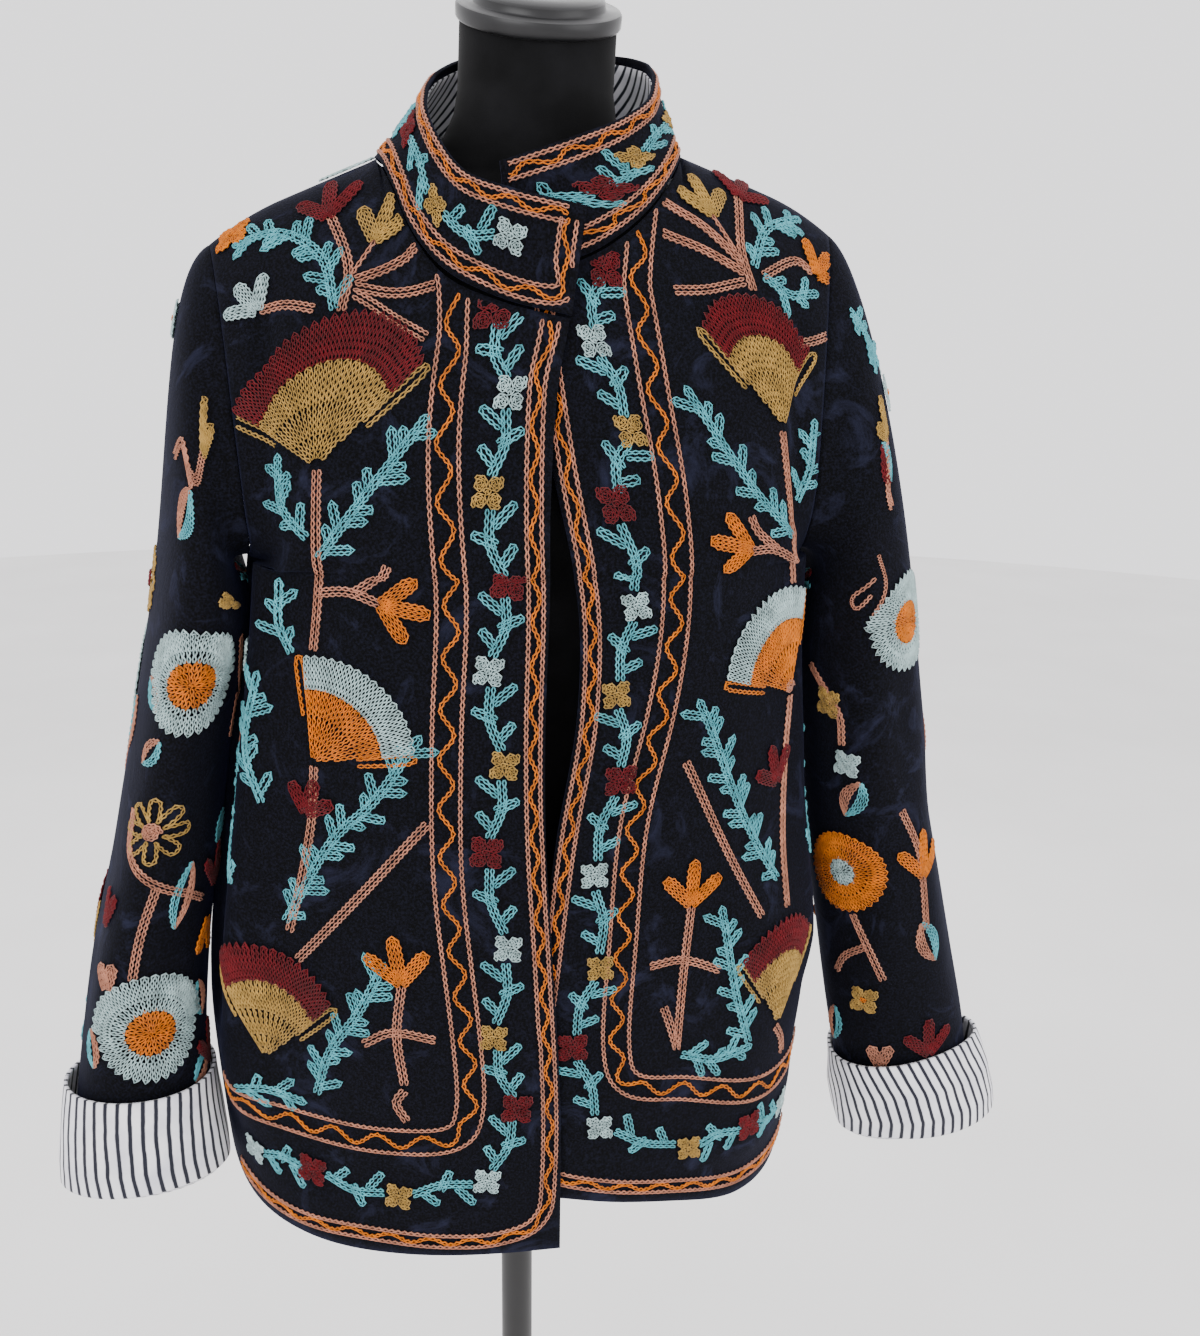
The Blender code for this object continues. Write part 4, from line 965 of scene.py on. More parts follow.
def thicken(piece, thickness, inner=0, tight=None):
    """Give a cloth surface its wall, inwards from the outer side, with its lining's material.

    Where it is tight, the wall is thin and both of its sides are velvet.
    """
    wall = piece.modifiers.new("Cloth", "SOLIDIFY")
    wall.thickness = thickness
    wall.offset = -1.0
    wall.use_rim = True
    wall.material_offset = inner
    if tight is not None:
        velvet = piece.data.materials[0]
        first = len(piece.data.materials)
        for _ in range(2):
            piece.data.materials.append(velvet)
        tints = np.where(tight[:-1, :-1].ravel(), first, 0).astype(np.int32)
        piece.data.polygons.foreach_set("material_index", tints)
        group = piece.vertex_groups.new(name="thin_wall")
        group.add(np.flatnonzero(tight).tolist(), 1.0, "REPLACE")
        wall.vertex_group = group.name
        wall.invert_vertex_group = True
        wall.thickness_vertex_group = THIN_SHARE


def place_piece(piece, slot, *nodes):
    """Ride on the root body and stand in for CAD nodes, hiding them. The slot is not used."""
    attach(piece, "root")
    if nodes:
        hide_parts(*nodes)


def panel_grid(side, face, spacing):
    """Fine grid of one panel's places: columns by length across, rows by length up."""
    edge = neck_share(side, face)
    count = int(PANEL_WIDTH / spacing)
    places = np.linspace(0.0, edge, NECK_SAMPLES)
    shares = share_across(side, face, places)
    neck = np.interp(np.linspace(0.0, 1.0, int(count * 0.42)), (shares + places / edge) / 2, places)
    columns = np.concatenate([neck, np.linspace(edge, 1.0, int(count * 0.58))[1:]])
    low = np.linspace(0.0, 1.0, int(LOWER_HEIGHT / spacing))
    high = 1 + np.linspace(0.0, 1.0, int(UPPER_HEIGHT / spacing)) ** ARMPIT_CROWD
    return np.meshgrid(columns, np.concatenate([low, high[1:]]))


# Yarns, and sizes of the chain stitch in millimetres
YARNS = ("aqua", "red", "mustard", "pale", "orange", "tan")
LINK = 4.2
FINE_LINK = 3.2
LINK_SAMPLES = 2
STRAND_SIDE = (0.28, 1.0)
STRAND_LIFT = (1.55, 0.70)
TUBE_SIDES = 3
ROW = 3.0
STEM_APART = 1.65
OVER = 0.7
ROOM = 0.62


class Stitching:
    """Routes of chain stitch on one chart, in millimetres along and up the cloth."""

    def __init__(self, width, yarn):
        self.routes = []
        self.width = width
        self.yarn = yarn

    def run(self, colour, places, width=1.0, link=LINK, rise=0.0):
        """One row of chain stitch through some places, straight from one to the next."""
        places = np.asarray(places, dtype=float)
        steps = np.linalg.norm(np.diff(places, axis=0), axis=1)
        if steps.sum() > link:
            self.routes.append((YARNS.index(colour), width * self.width, rise,
                                sampled_route(places, link)))

    def smooth(self, colour, places, width=1.0):
        """One row of chain stitch on a rounded curve through some places."""
        self.run(colour, rounded(places), width)

    def doubled(self, colour, places):
        """Two rows side by side on a rounded curve through some places."""
        curve = rounded(places)
        for hand in (-STEM_APART, STEM_APART):
            self.run(colour, offset_route(curve, hand))


def rounded(places, steps=8):
    """Curve through some places, its bends rounded off by Catmull-Rom stretches."""
    p = np.asarray(places, dtype=float)
    p = np.concatenate([2 * p[:1] - p[1:2], p, 2 * p[-1:] - p[-2:-1]])
    t = np.linspace(0.0, 1.0, steps, endpoint=False)[:, None]
    parts = []
    for a, b, c, d in zip(p[:-3], p[1:-2], p[2:-1], p[3:]):
        parts.append(0.5 * (2 * b + (c - a) * t + (2 * a - 5 * b + 4 * c - d) * t ** 2
                            + (3 * b - a - 3 * c + d) * t ** 3))
    return np.concatenate([*parts, p[-2:-1]])


def polar(centre, radius, degrees):
    """Place at a distance and a direction from a centre, 0 degrees being along the row."""
    turn = np.radians(degrees)
    return np.stack([centre[0] + radius * np.cos(turn), centre[1] + radius * np.sin(turn)], axis=-1)


def direction(start, end):
    """Direction from one place to another, in degrees."""
    return math.degrees(math.atan2(end[1] - start[1], end[0] - start[0]))


def offset_route(places, distance):
    """A route moved sideways by a distance."""
    p = np.asarray(places, dtype=float)
    way = np.gradient(p, axis=0)
    way = way / np.maximum(np.linalg.norm(way, axis=1, keepdims=True), 1e-9)
    return p + np.stack([-way[:, 1], way[:, 0]], axis=1) * np.reshape(distance, (-1, 1))


def lengths_along(places):
    """Length from the start of a route to each of its places."""
    steps = np.linalg.norm(np.diff(places, axis=0), axis=1)
    return np.concatenate([[0.0], np.cumsum(steps)])


def sampled_route(places, link):
    """A route's places at equal steps, LINK_SAMPLES to each chain link."""
    length = lengths_along(places)
    links = max(int(round(length[-1] / link)), 1)
    at = np.linspace(0.0, length[-1], links * LINK_SAMPLES + 1)
    return np.stack([np.interp(at, length, places[:, k]) for k in (0, 1)], axis=1)


def cloth_runs(routes, on_cloth):
    """Stretches of routes that lie on the cloth: colour, width, rise, first place and count."""
    start = 0
    for colour, width, rise, places in routes:
        inside = np.concatenate([[False], on_cloth[start:start + len(places)], [False]])
        turns = np.flatnonzero(inside[1:] != inside[:-1])
        for low, high in zip(turns[::2], turns[1::2]):
            if high - low > 2 * LINK_SAMPLES:
                yield colour, width, rise, start + low, high - low
        start += len(places)


def chain_piece(name, stitching, lay, materials):
    """All of one panel's chain stitch as yarn: two strands to a row, crossing at every link."""
    flat = np.concatenate([route[-1] for route in stitching.routes]) / 1000
    points, normals, on_cloth = lay(flat[:, 0], flat[:, 1])
    yarn = stitching.yarn / 1000
    turns = np.linspace(0.0, 2 * math.pi, TUBE_SIDES, endpoint=False) + math.pi / 2
    tubes, faces, tints, first = [], [], [], 0
    for colour, width, rise, first_place, count in cloth_runs(stitching.routes, on_cloth):
        row = points[first_place:first_place + count]
        out = normals[first_place:first_place + count]
        side = np.cross(out, np.gradient(row, axis=0))
        side = side / np.maximum(np.linalg.norm(side, axis=1, keepdims=True), 1e-9)
        phase = np.arange(count) % LINK_SAMPLES
        apart = np.array(STRAND_SIDE)[phase] * width / 1000
        lift = np.array(STRAND_LIFT)[phase] * yarn + rise / 1000
        for hand in (-1.0, 1.0):
            middle = row + side * (apart * hand)[:, None] + out * lift[:, None]
            ring = (np.cos(turns)[None, :, None] * side[:, None] * hand
                    + np.sin(turns)[None, :, None] * out[:, None]) * yarn
            tube = (middle[:, None] + ring).reshape(-1, 3)
            grid = grid_faces(count, TUBE_SIDES, True, hand > 0) + first
            last = first + len(tube) - TUBE_SIDES
            ends = [[first, first + 1, first + 2], [last + 2, last + 1, last]]
            if hand < 0:
                ends = [end[::-1] for end in ends]
            faces.extend(grid.tolist() + ends)
            tints.extend([colour] * (len(grid) + 2))
            tubes.append(tube)
            first += len(tube)
    mesh = new_mesh(name, np.concatenate(tubes), faces, materials)
    mesh.polygons.foreach_set("material_index", np.array(tints, dtype=np.int32))
    return new_piece(mesh)


def line(work, colour, *places):
    """Single row on a rounded curve."""
    work.smooth(colour, places)


def stem(work, colour, *places):
    """Stem of two rows side by side."""
    work.doubled(colour, places)


def wave(work, colour, places, pitch, swing):
    """Row of chain stitch that swings from side to side of a curve."""
    curve = rounded(places)
    length = lengths_along(curve)
    halves = max(int(length[-1] / (pitch / 2)), 2)
    at = np.linspace(0.0, length[-1], halves * 4 + 1)
    middle = np.stack([np.interp(at, length, curve[:, k]) for k in (0, 1)], axis=1)
    work.run(colour, offset_route(middle, swing * np.sin(math.pi / 4 * np.arange(len(at)))))


def bordered_wave(work, places, apart, pitch=30.0, swing=4.4):
    """Orange wave between two tan rows."""
    for off in (-apart / 2, apart / 2):
        work.run("tan", offset_route(rounded(places), off))
    wave(work, "orange", places, pitch, swing)


def finger(work, colour, foot, degrees, length, half=1.8, rise=0.0):
    """Rounded finger: a row of chain stitch out along one side and back along the other."""
    forward = polar((0, 0), 1.0, degrees)
    aside = np.array([-forward[1], forward[0]])
    spine = np.array((0.0, 0.5, 0.86, 1.0, 1.0, 0.86, 0.5, 0.0))
    wide = np.array((0.8, 1.0, 1.0, 0.45, -0.45, -1.0, -1.0, -0.8))
    work.run(colour, np.asarray(foot) + np.outer(spine * length, forward)
             + np.outer(wide * half, aside), rise=rise)


def coil(work, colour, centre, radius, degrees=0.0, rise=OVER):
    """Round patch filled by one row coiled inwards."""
    turns = max(radius / ROW, 1.0)
    t = np.linspace(0.0, 1.0, int(12 * turns) + 4)
    work.run(colour, polar(centre, (radius - 1.5) * (1 - t) + 0.6 * t, degrees + 360 * turns * t),
             0.85, FINE_LINK, rise)


def flower(work, colour, centre, size=22.0, heart=None, lobes=4, turn=45.0):
    """Small flower of coiled round lobes, with a heart of another colour."""
    for k in range(lobes):
        way = turn + 360 * k / lobes
        coil(work, colour, polar(centre, size * 0.27, way), size * 0.26, way)
    coil(work, heart or colour, centre, 3.4, 0.0, 2 * OVER)


def radial_rows(work, colour, foot, low, high, start, stop, fall=0.0):
    """Rows packed side by side between two radii, joined in pairs round their outer ends.

    A row starts only where its neighbours leave it room, so the rows stay as dense at the foot
    as at the rim. The rim falls away towards both sides by a share of its radius.
    """
    sweep = math.radians(abs(stop - start))
    pairs = max(int(round(sweep * high / (2 * ROW))), 2)
    count = 2 * pairs
    step = sweep / count
    for k in range(0, count, 2):
        route = []
        for i in (k, k + 1):
            way = start + (stop - start) * (i + 0.5) / count
            rim = 1 - fall * (2 * (i + 0.5) / count - 1) ** 2
            stride = next(s for s in (8, 4, 2, 1) if i % s == 0)
            foot_radius = max(low * rim, ROW * ROOM / (stride * step))
            tip = high * rim - 1.2
            ends = [polar(foot, min(foot_radius, tip - 4), way), polar(foot, tip, way)]
            route.extend(ends if i == k else ends[::-1])
        middle = start + (stop - start) * (k + 1) / count
        route.insert(2, polar(foot, high * (1 - fall * (2 * (k + 1) / count - 1) ** 2) + 0.6, middle))
        work.run(colour, route, rise=OVER)


def fan(work, outer, inner, foot, reach, start, stop, fall=0.14, share=0.70):
    """Fan flower: dense inner rows from its foot, a band of outer rows, and a finger at each side."""
    radial_rows(work, outer, foot, reach * share, reach, start, stop, fall)
    radial_rows(work, inner, foot, 3.0, reach * share, start, stop, fall)
    side = reach * (1 - fall)
    for way in (start - 3, stop + 3):
        finger(work, inner, polar(foot, side * 0.45, way), way, side * 0.56, 2.6)


def bloom(work, outer, inner, centre, size, heart=0.42, stretch=0.0):
    """Big round flower: a ring of radial rows about a dense heart of another colour."""
    half = size / 2
    radial_rows(work, outer, centre, half * heart, half * (1 + stretch), 0, 180)
    radial_rows(work, outer, centre, half * heart, half, 180, 360)
    radial_rows(work, inner, centre, 1.5, half * heart, 0, 360)
    coil(work, inner, centre, 3.2)


def daisy(work, colour, centre, size, petals, heart, turn=0.0):
    """Open flower of finger petals about a coiled heart."""
    for k in range(petals):
        way = turn + 360 * k / petals
        finger(work, colour, polar(centre, size * 0.14, way), way, size * 0.35, size * 0.085)
    coil(work, heart, centre, size * 0.17, 0.0, 2 * OVER)


def sprig(work, colour, *places, reach=16.0, spacing=14.0):
    """Fir-like sprig: a stem of two rows with a pair of rounded arms at every step."""
    curve = rounded(places)
    work.doubled(colour, places)
    length = lengths_along(curve)
    count = max(int(length[-1] / spacing), 2)
    for k in range(count):
        at = length[-1] * (k + 0.55) / count
        here, then = (np.array([np.interp(v, length, curve[:, i]) for i in (0, 1)])
                      for v in (at, at + 2.0))
        way = direction(here, then)
        for side in (1, -1):
            long = reach * (0.85 + 0.25 * math.sin(2.3 * k + places[0][0] + side))
            slid = here + (then - here) * (1.5 * side * (1 if k % 2 else -1))
            finger(work, colour, slid, way + side * 50, long)
    finger(work, colour, curve[-1], direction(curve[-4], curve[-1]), 9.0)


def tulip(work, colour, foot, degrees, size, petals=3, spread=46.0):
    """Tulip head of dense fingers that spread from the end of its stem."""
    for k in range(petals):
        turn = spread * (k - (petals - 1) / 2)
        reach = size * (1.0 if turn == 0 else 0.88)
        for half in (3.4, 1.2):
            finger(work, colour, foot, degrees + turn, reach - (3.4 - half), half, OVER)


def leaf(work, first, second, foot, degrees, length, half):
    """Pointed leaf of two colours, one to each side of its middle vein."""
    forward = polar((0, 0), 1.0, degrees)
    aside = np.array([-forward[1], forward[0]])
    spine = np.array((0.0, 0.25, 0.55, 0.82, 1.0))
    wide = np.array((0.0, 0.75, 1.0, 0.6, 0.0))
    rows = max(int(half / ROW), 1)
    for colour, hand in ((first, 1.0), (second, -1.0)):
        for ring in range(rows):
            share = 1 - ring / rows
            work.smooth(colour, np.asarray(foot) + np.outer(spine * length, forward)
                        + np.outer(wide * half * share * hand, aside))


def vine(work, *flowers):
    """Waving stem that links a row of flowers, with a pair of arms by every bend."""
    centres = [np.array(place, dtype=float) for place, _ in flowers]
    for k, (here, there) in enumerate(zip(centres[:-1], centres[1:])):
        way = there - here
        aside = np.array([-way[1], way[0]]) / np.linalg.norm(way)
        hand = 1.0 if k % 2 else -1.0
        work.doubled("aqua", [here + way * 0.16, here + way * 0.5 + aside * 4.0 * hand,
                              here + way * 0.84])
        towards = direction(here, there)
        for share, turn, reach in ((0.34, 60.0, 16.5), (0.52, -55.0, 15.5), (0.72, 50.0, 12.5)):
            finger(work, "aqua", here + way * share, towards + 180 + turn * hand, reach)
    for centre, colour in flowers:
        flower(work, colour, centre, 25.0 if colour == "red" else 22.0)


def stitch_all(work, motifs):
    """Stitch every motif of a table: its function, and what that function takes."""
    for make, *values in motifs:
        make(work, *values)


# Embroidery layout, in millimetres along each row of the cloth and up it
VINES = {
    RIGHT: (((44, 652), "mustard"), ((42, 585), "red"), ((27, 543), "pale"), ((36, 495), "mustard"),
            ((24, 444), "red"), ((34, 393), "pale"), ((24, 336), "mustard"), ((36, 282), "red"),
            ((27, 219), "pale"), ((40, 159), "mustard"), ((28, 108), "red"), ((48, 56), "pale"),
            ((105, 44), "mustard"), ((165, 51), "red"), ((212, 46), "pale")),
    LEFT: (((54, 612), "red"), ((41, 573), "pale"), ((51, 528), "mustard"), ((32, 489), "red"),
           ((34, 426), "pale"), ((22, 369), "mustard"), ((32, 312), "red"), ((26, 246), "pale"),
           ((38, 180), "mustard"), ((28, 120), "red"), ((52, 60), "pale"), ((117, 44), "mustard"),
           ((165, 58), "red"), ((210, 52), "pale")),
}
INNER_BORDERS = {
    RIGHT: ((76, 650), (66, 612), (62, 520), (56, 435), (58, 340), (60, 252), (57, 160), (58, 108),
            (70, 88), (110, 84), (160, 84), (232, 88)),
    LEFT: ((80, 664), (76, 633), (72, 560), (68, 501), (56, 400), (46, 300), (50, 200), (56, 124),
           (70, 94), (110, 90), (160, 86), (236, 84)),
}
EDGE_BORDERS = {
    RIGHT: ((20, 664), (13, 567), (8, 435), (7, 315), (7, 183), (8, 60), (14, 24), (40, 12),
            (78, 11), (130, 14), (182, 12), (236, 14)),
    LEFT: ((22, 650), (12, 540), (8, 489), (7, 408), (7, 327), (7, 243), (8, 156), (9, 50),
           (20, 20), (60, 13), (140, 13), (236, 15)),
}
FRONT_MOTIFS = {
    RIGHT: (
        (fan, "red", "mustard", (134, 516), 86, 34, 138),
        (stem, "tan", (134, 604), (130, 630), (142, 668)),
        (tulip, "red", (143, 666), 92, 30),
        (tulip, "mustard", (114, 640), 116, 27),
        (line, "tan", (128, 624), (114, 640)),
        (stem, "tan", (126, 620), (104, 622), (78, 630)),
        (stem, "tan", (126, 616), (102, 606), (76, 604)),
        (stem, "tan", (126, 612), (104, 594), (80, 578)),
        (sprig, "aqua", (138, 606), (146, 640), (172, 668), (196, 676)),
        (tulip, "pale", (188, 622), 60, 24),
        (stem, "tan", (150, 610), (168, 618), (186, 622)),
        (tulip, "pale", (134, 712), 96, 22, 3, 60),
        (flower, "orange", (206, 690), 28),
        (sprig, "aqua", (132, 462), (106, 496), (78, 530)),
        (sprig, "aqua", (138, 474), (156, 492), (160, 516)),
        (stem, "tan", (134, 514), (133, 470), (136, 430), (139, 400)),
        (stem, "tan", (136, 434), (116, 436), (96, 430)),
        (stem, "tan", (112, 436), (98, 446), (92, 458)),
        (tulip, "orange", (96, 430), 190, 28),
        (sprig, "aqua", (154, 396), (162, 412), (162, 430)),
        (fan, "pale", "orange", (139, 332), 66, 84, 170, 0.04),
        (sprig, "aqua", (168, 226), (132, 282), (102, 312), (78, 346)),
        (sprig, "aqua", (176, 300), (186, 334), (178, 372)),
        (stem, "tan", (139, 330), (142, 300), (152, 262), (166, 220)),
        (tulip, "red", (146, 300), 110, 22),
        (stem, "tan", (162, 202), (112, 254), (70, 300)),
        (fan, "red", "mustard", (190, 128), 78, 62, 136),
        (sprig, "aqua", (158, 110), (146, 142), (124, 172), (108, 200)),
        (tulip, "orange", (94, 196), 84, 30),
        (stem, "tan", (94, 194), (100, 160), (98, 126)),
        (stem, "tan", (122, 152), (102, 162), (76, 158)),
        (stem, "tan", (98, 122), (104, 112), (98, 100)),
        (sprig, "aqua", (214, 98), (196, 104), (176, 102)),
        (sprig, "aqua", (204, 240), (214, 280), (206, 320)),
        (flower, "pale", (198, 388), 26, "orange"),
        (stem, "tan", (206, 326), (206, 352), (200, 380)),
    ),
    LEFT: (
        (fan, "red", "mustard", (156, 540), 80, 56, 130),
        (stem, "tan", (152, 624), (146, 650), (150, 690)),
        (tulip, "red", (150, 690), 70, 28),
        (tulip, "mustard", (128, 666), 112, 27),
        (line, "tan", (142, 646), (128, 666)),
        (stem, "tan", (146, 640), (120, 656), (92, 662)),
        (stem, "tan", (146, 634), (120, 640), (92, 642)),
        (stem, "tan", (146, 628), (120, 616), (98, 610)),
        (sprig, "aqua", (154, 640), (166, 670), (190, 692)),
        (stem, "tan", (160, 636), (186, 656), (200, 654)),
        (tulip, "orange", (204, 654), 60, 28),
        (stem, "tan", (188, 600), (202, 606), (218, 616)),
        (sprig, "aqua", (160, 636), (180, 630), (196, 636)),
        (stem, "tan", (156, 538), (154, 500), (156, 460), (158, 430)),
        (sprig, "aqua", (152, 470), (124, 500), (96, 548)),
        (sprig, "aqua", (164, 492), (178, 516), (186, 540)),
        (stem, "tan", (156, 452), (134, 462), (116, 462)),
        (stem, "tan", (136, 462), (122, 474), (118, 484)),
        (tulip, "orange", (114, 464), 168, 28),
        (fan, "pale", "orange", (158, 360), 70, 76, 166, 0.08),
        (coil, "tan", (158, 362), 6.0),
        (stem, "tan", (160, 356), (160, 320), (166, 270), (174, 214)),
        (sprig, "aqua", (162, 236), (136, 268), (108, 308), (80, 356)),
        (stem, "tan", (148, 214), (110, 268), (72, 324)),
        (tulip, "red", (152, 302), 112, 26),
        (fan, "red", "mustard", (176, 132), 74, 62, 128),
        (stem, "tan", (176, 130), (186, 118), (192, 104)),
        (tulip, "orange", (92, 226), 92, 30),
        (stem, "tan", (93, 224), (94, 180), (98, 120)),
        (stem, "tan", (70, 182), (92, 186), (120, 178)),
        (stem, "tan", (98, 122), (90, 140), (84, 152)),
        (sprig, "aqua", (152, 124), (134, 164), (118, 214)),
        (sprig, "aqua", (102, 116), (126, 112), (146, 118)),
        (sprig, "aqua", (208, 236), (216, 280), (208, 320)),
        (flower, "pale", (202, 384), 26, "orange"),
        (stem, "tan", (202, 378), (208, 352), (208, 326)),
    ),
}
BACK_MOTIFS = (
    (fan, "red", "mustard", (110, 530), 88, 38, 142),
    (stem, "tan", (110, 528), (114, 470), (110, 410)),
    (fan, "pale", "orange", (110, 322), 84, 38, 142),
    (stem, "tan", (110, 320), (114, 270), (110, 206)),
    (fan, "red", "mustard", (110, 118), 84, 38, 142),
    (sprig, "aqua", (106, 440), (78, 470), (54, 512)),
    (sprig, "aqua", (116, 440), (142, 466), (160, 498)),
    (sprig, "aqua", (106, 236), (78, 266), (54, 308)),
    (sprig, "aqua", (116, 236), (150, 266), (176, 308)),
    (tulip, "orange", (36, 404), 96, 30), (stem, "tan", (36, 404), (42, 370), (36, 338)),
    (tulip, "red", (188, 396), 84, 30), (stem, "tan", (188, 396), (182, 366), (190, 334)),
    (tulip, "orange", (186, 180), 84, 30), (stem, "tan", (186, 180), (192, 150), (184, 116)),
    (tulip, "red", (36, 196), 96, 30), (stem, "tan", (36, 196), (30, 160), (38, 116)),
    (flower, "pale", (42, 616), 28, "orange"), (flower, "mustard", (170, 618), 28, "red"),
    (sprig, "aqua", (42, 632), (50, 656), (44, 680)),
    (sprig, "aqua", (170, 634), (164, 656), (170, 680)),
    (flower, "pale", (112, 656), 26, "mustard"),
)
BACK_VINE = (((4, 44), "red"), ((48, 52), "pale"), ((92, 44), "mustard"), ((136, 52), "red"),
             ((180, 44), "pale"), ((216, 50), "mustard"))
SLEEVE_HIDDEN = (
    (leaf, "red", "aqua", (205, 520), 92, 38, 10), (stem, "tan", (205, 520), (211, 490), (206, 462)),
    (bloom, "pale", "orange", (212, 400), 52), (sprig, "aqua", (196, 446), (204, 478), (190, 506)),
    (daisy, "mustard", (216, 300), 46, 8, "red"), (leaf, "aqua", "tan", (206, 222), 96, 38, 10),
    (tulip, "orange", (208, 152), 92, 28), (stem, "tan", (208, 152), (212, 120), (206, 92)),
    (fan, "red", "mustard", (352, 452), 70, 52, 128),
    (stem, "tan", (352, 450), (356, 420), (350, 376)),
    (bloom, "pale", "orange", (330, 334), 62), (stem, "tan", (326, 302), (318, 270), (312, 236)),
    (leaf, "aqua", "tan", (322, 258), 60, 34, 9), (tulip, "red", (298, 262), 110, 28),
    (fan, "red", "mustard", (292, 132), 66, 52, 128),
    (sprig, "aqua", (288, 124), (276, 104), (272, 80)),
    (flower, "mustard", (268, 400), 28, "red"), (sprig, "aqua", (272, 416), (288, 444), (286, 476)),
    (flower, "pale", (258, 226), 26, "orange"), (daisy, "mustard", (4, 400), 42, 8, "red"),
    (leaf, "aqua", "tan", (12, 290), 84, 36, 9), (tulip, "orange", (276, 536), 92, 30),
    (stem, "tan", (276, 536), (280, 512), (276, 490)), (flower, "pale", (2, 560), 28, "orange"),
)
SLEEVE_MOTIFS = {
    RIGHT: (
        (tulip, "mustard", (114, 562), 100, 30, 2), (stem, "tan", (114, 562), (104, 530), (88, 516)),
        (leaf, "tan", "aqua", (76, 454), 74, 54, 9), (stem, "tan", (94, 512), (72, 520), (58, 498)),
        (flower, "mustard", (122, 434), 30, None, 3, 90),
        (bloom, "pale", "orange", (94, 350), 66, 0.46, 0.12),
        (leaf, "aqua", "tan", (70, 330), 130, 24, 7), (leaf, "aqua", "tan", (76, 312), 230, 24, 7),
        (stem, "tan", (140, 372), (150, 344), (166, 322)), (stem, "tan", (146, 300), (152, 330)),
        (daisy, "mustard", (78, 250), 46, 8, "tan"),
        (stem, "tan", (58, 262), (62, 232), (92, 206), (124, 190)),
        (stem, "tan", (84, 210), (78, 180), (74, 146)),
        (leaf, "aqua", "tan", (98, 176), 78, 46, 8), (tulip, "red", (44, 178), 88, 26, 2),
        (tulip, "red", (140, 196), 84, 30), (tulip, "orange", (134, 172), 262, 28, 2),
        (leaf, "aqua", "aqua", (138, 226), 60, 24, 7),
        (bloom, "pale", "orange", (84, 108), 66, 0.46, 0.18), (tulip, "tan", (58, 140), 100, 18, 2),
        (leaf, "aqua", "tan", (128, 104), 100, 26, 8), (tulip, "red", (138, 66), 88, 30),
        (leaf, "aqua", "tan", (112, 62), 30, 24, 7), (leaf, "aqua", "tan", (44, 84), 100, 24, 7),
    ),
    LEFT: (
        (tulip, "mustard", (70, 556), 80, 28, 2), (stem, "tan", (70, 556), (84, 530), (82, 510)),
        (leaf, "aqua", "red", (78, 528), 84, 34, 9), (line, "tan", (104, 492), (96, 452), (106, 424)),
        (line, "tan", (106, 470), (122, 462), (118, 440), (108, 452)),
        (bloom, "pale", "orange", (74, 408), 66, 0.46, 0.10),
        (flower, "mustard", (140, 356), 26), (flower, "pale", (124, 312), 24),
        (stem, "tan", (160, 380), (132, 352), (128, 326)),
        (leaf, "aqua", "tan", (124, 270), 110, 30, 9),
        (bloom, "orange", "pale", (128, 222), 64, 0.34), (tulip, "orange", (68, 214), 96, 34),
        (stem, "tan", (84, 270), (72, 240), (68, 214), (66, 170)),
        (leaf, "aqua", "tan", (58, 142), 70, 36, 9),
        (stem, "tan", (120, 188), (108, 160), (98, 134)),
        (stem, "tan", (110, 162), (128, 150), (136, 136)),
        (flower, "mustard", (112, 116), 26, "orange"), (tulip, "red", (64, 66), 90, 28),
        (leaf, "aqua", "tan", (142, 74), 96, 30, 8), (tulip, "tan", (100, 60), 90, 20, 2),
        (sprig, "aqua", (60, 640), (52, 616), (44, 592)), (flower, "pale", (36, 560), 24, "orange"),
    ),
}
COLLAR_FLOWERS = ((40, "pale"), (92, "mustard"), (150, "red"), (208, "pale"), (266, "mustard"),
                  (324, "red"), (382, "pale"), (440, "mustard"), (494, "mustard"), (530, "red"),
                  (584, "pale"))


def front_stitches(work, side):
    """Stitch one front: its bordered edge, its vine, its inner border and its motifs."""
    bordered_wave(work, EDGE_BORDERS[side], 8.5, 26.0, 2.2)
    bordered_wave(work, INNER_BORDERS[side], 17.0)
    vine(work, *VINES[side])
    stitch_all(work, FRONT_MOTIFS[side])


def back_stitches(work, total):
    """Stitch half of the back: its hem borders, its vine and its motifs."""
    bordered_wave(work, ((2, 13), (total * 0.3, 12), (total * 0.7, 14), (total - 2, 13)), 8.5,
                  26.0, 2.2)
    bordered_wave(work, ((2, 84), (total * 0.3, 84), (total * 0.7, 86), (total - 2, 84)), 17.0)
    vine(work, *BACK_VINE)
    stitch_all(work, BACK_MOTIFS)


def collar_stitches(work, total):
    """Stitch the collar: bordered seam and end, top line, and a vine with its flowers."""
    across = [(10 + (total - 16) * share, 9.0) for share in np.linspace(0.0, 1.0, 12)]
    bordered_wave(work, [(9, 50), (9, 30), *across], 9.0, 26.0, 2.4)
    bordered_wave(work, [(a, 52.0) for a, _ in across], 8.0, 26.0, 2.2)
    height = {a: 30 + 4 * math.sin(a / 18.0) for a, _ in COLLAR_FLOWERS}
    vine(work, *[((a, height[a]), colour) for a, colour in COLLAR_FLOWERS])


def hex_setting(name, description, code):
    """Setting for a colour, as an sRGB hex code."""
    return bpy.props.StringProperty(name=name, description=description, default=code)


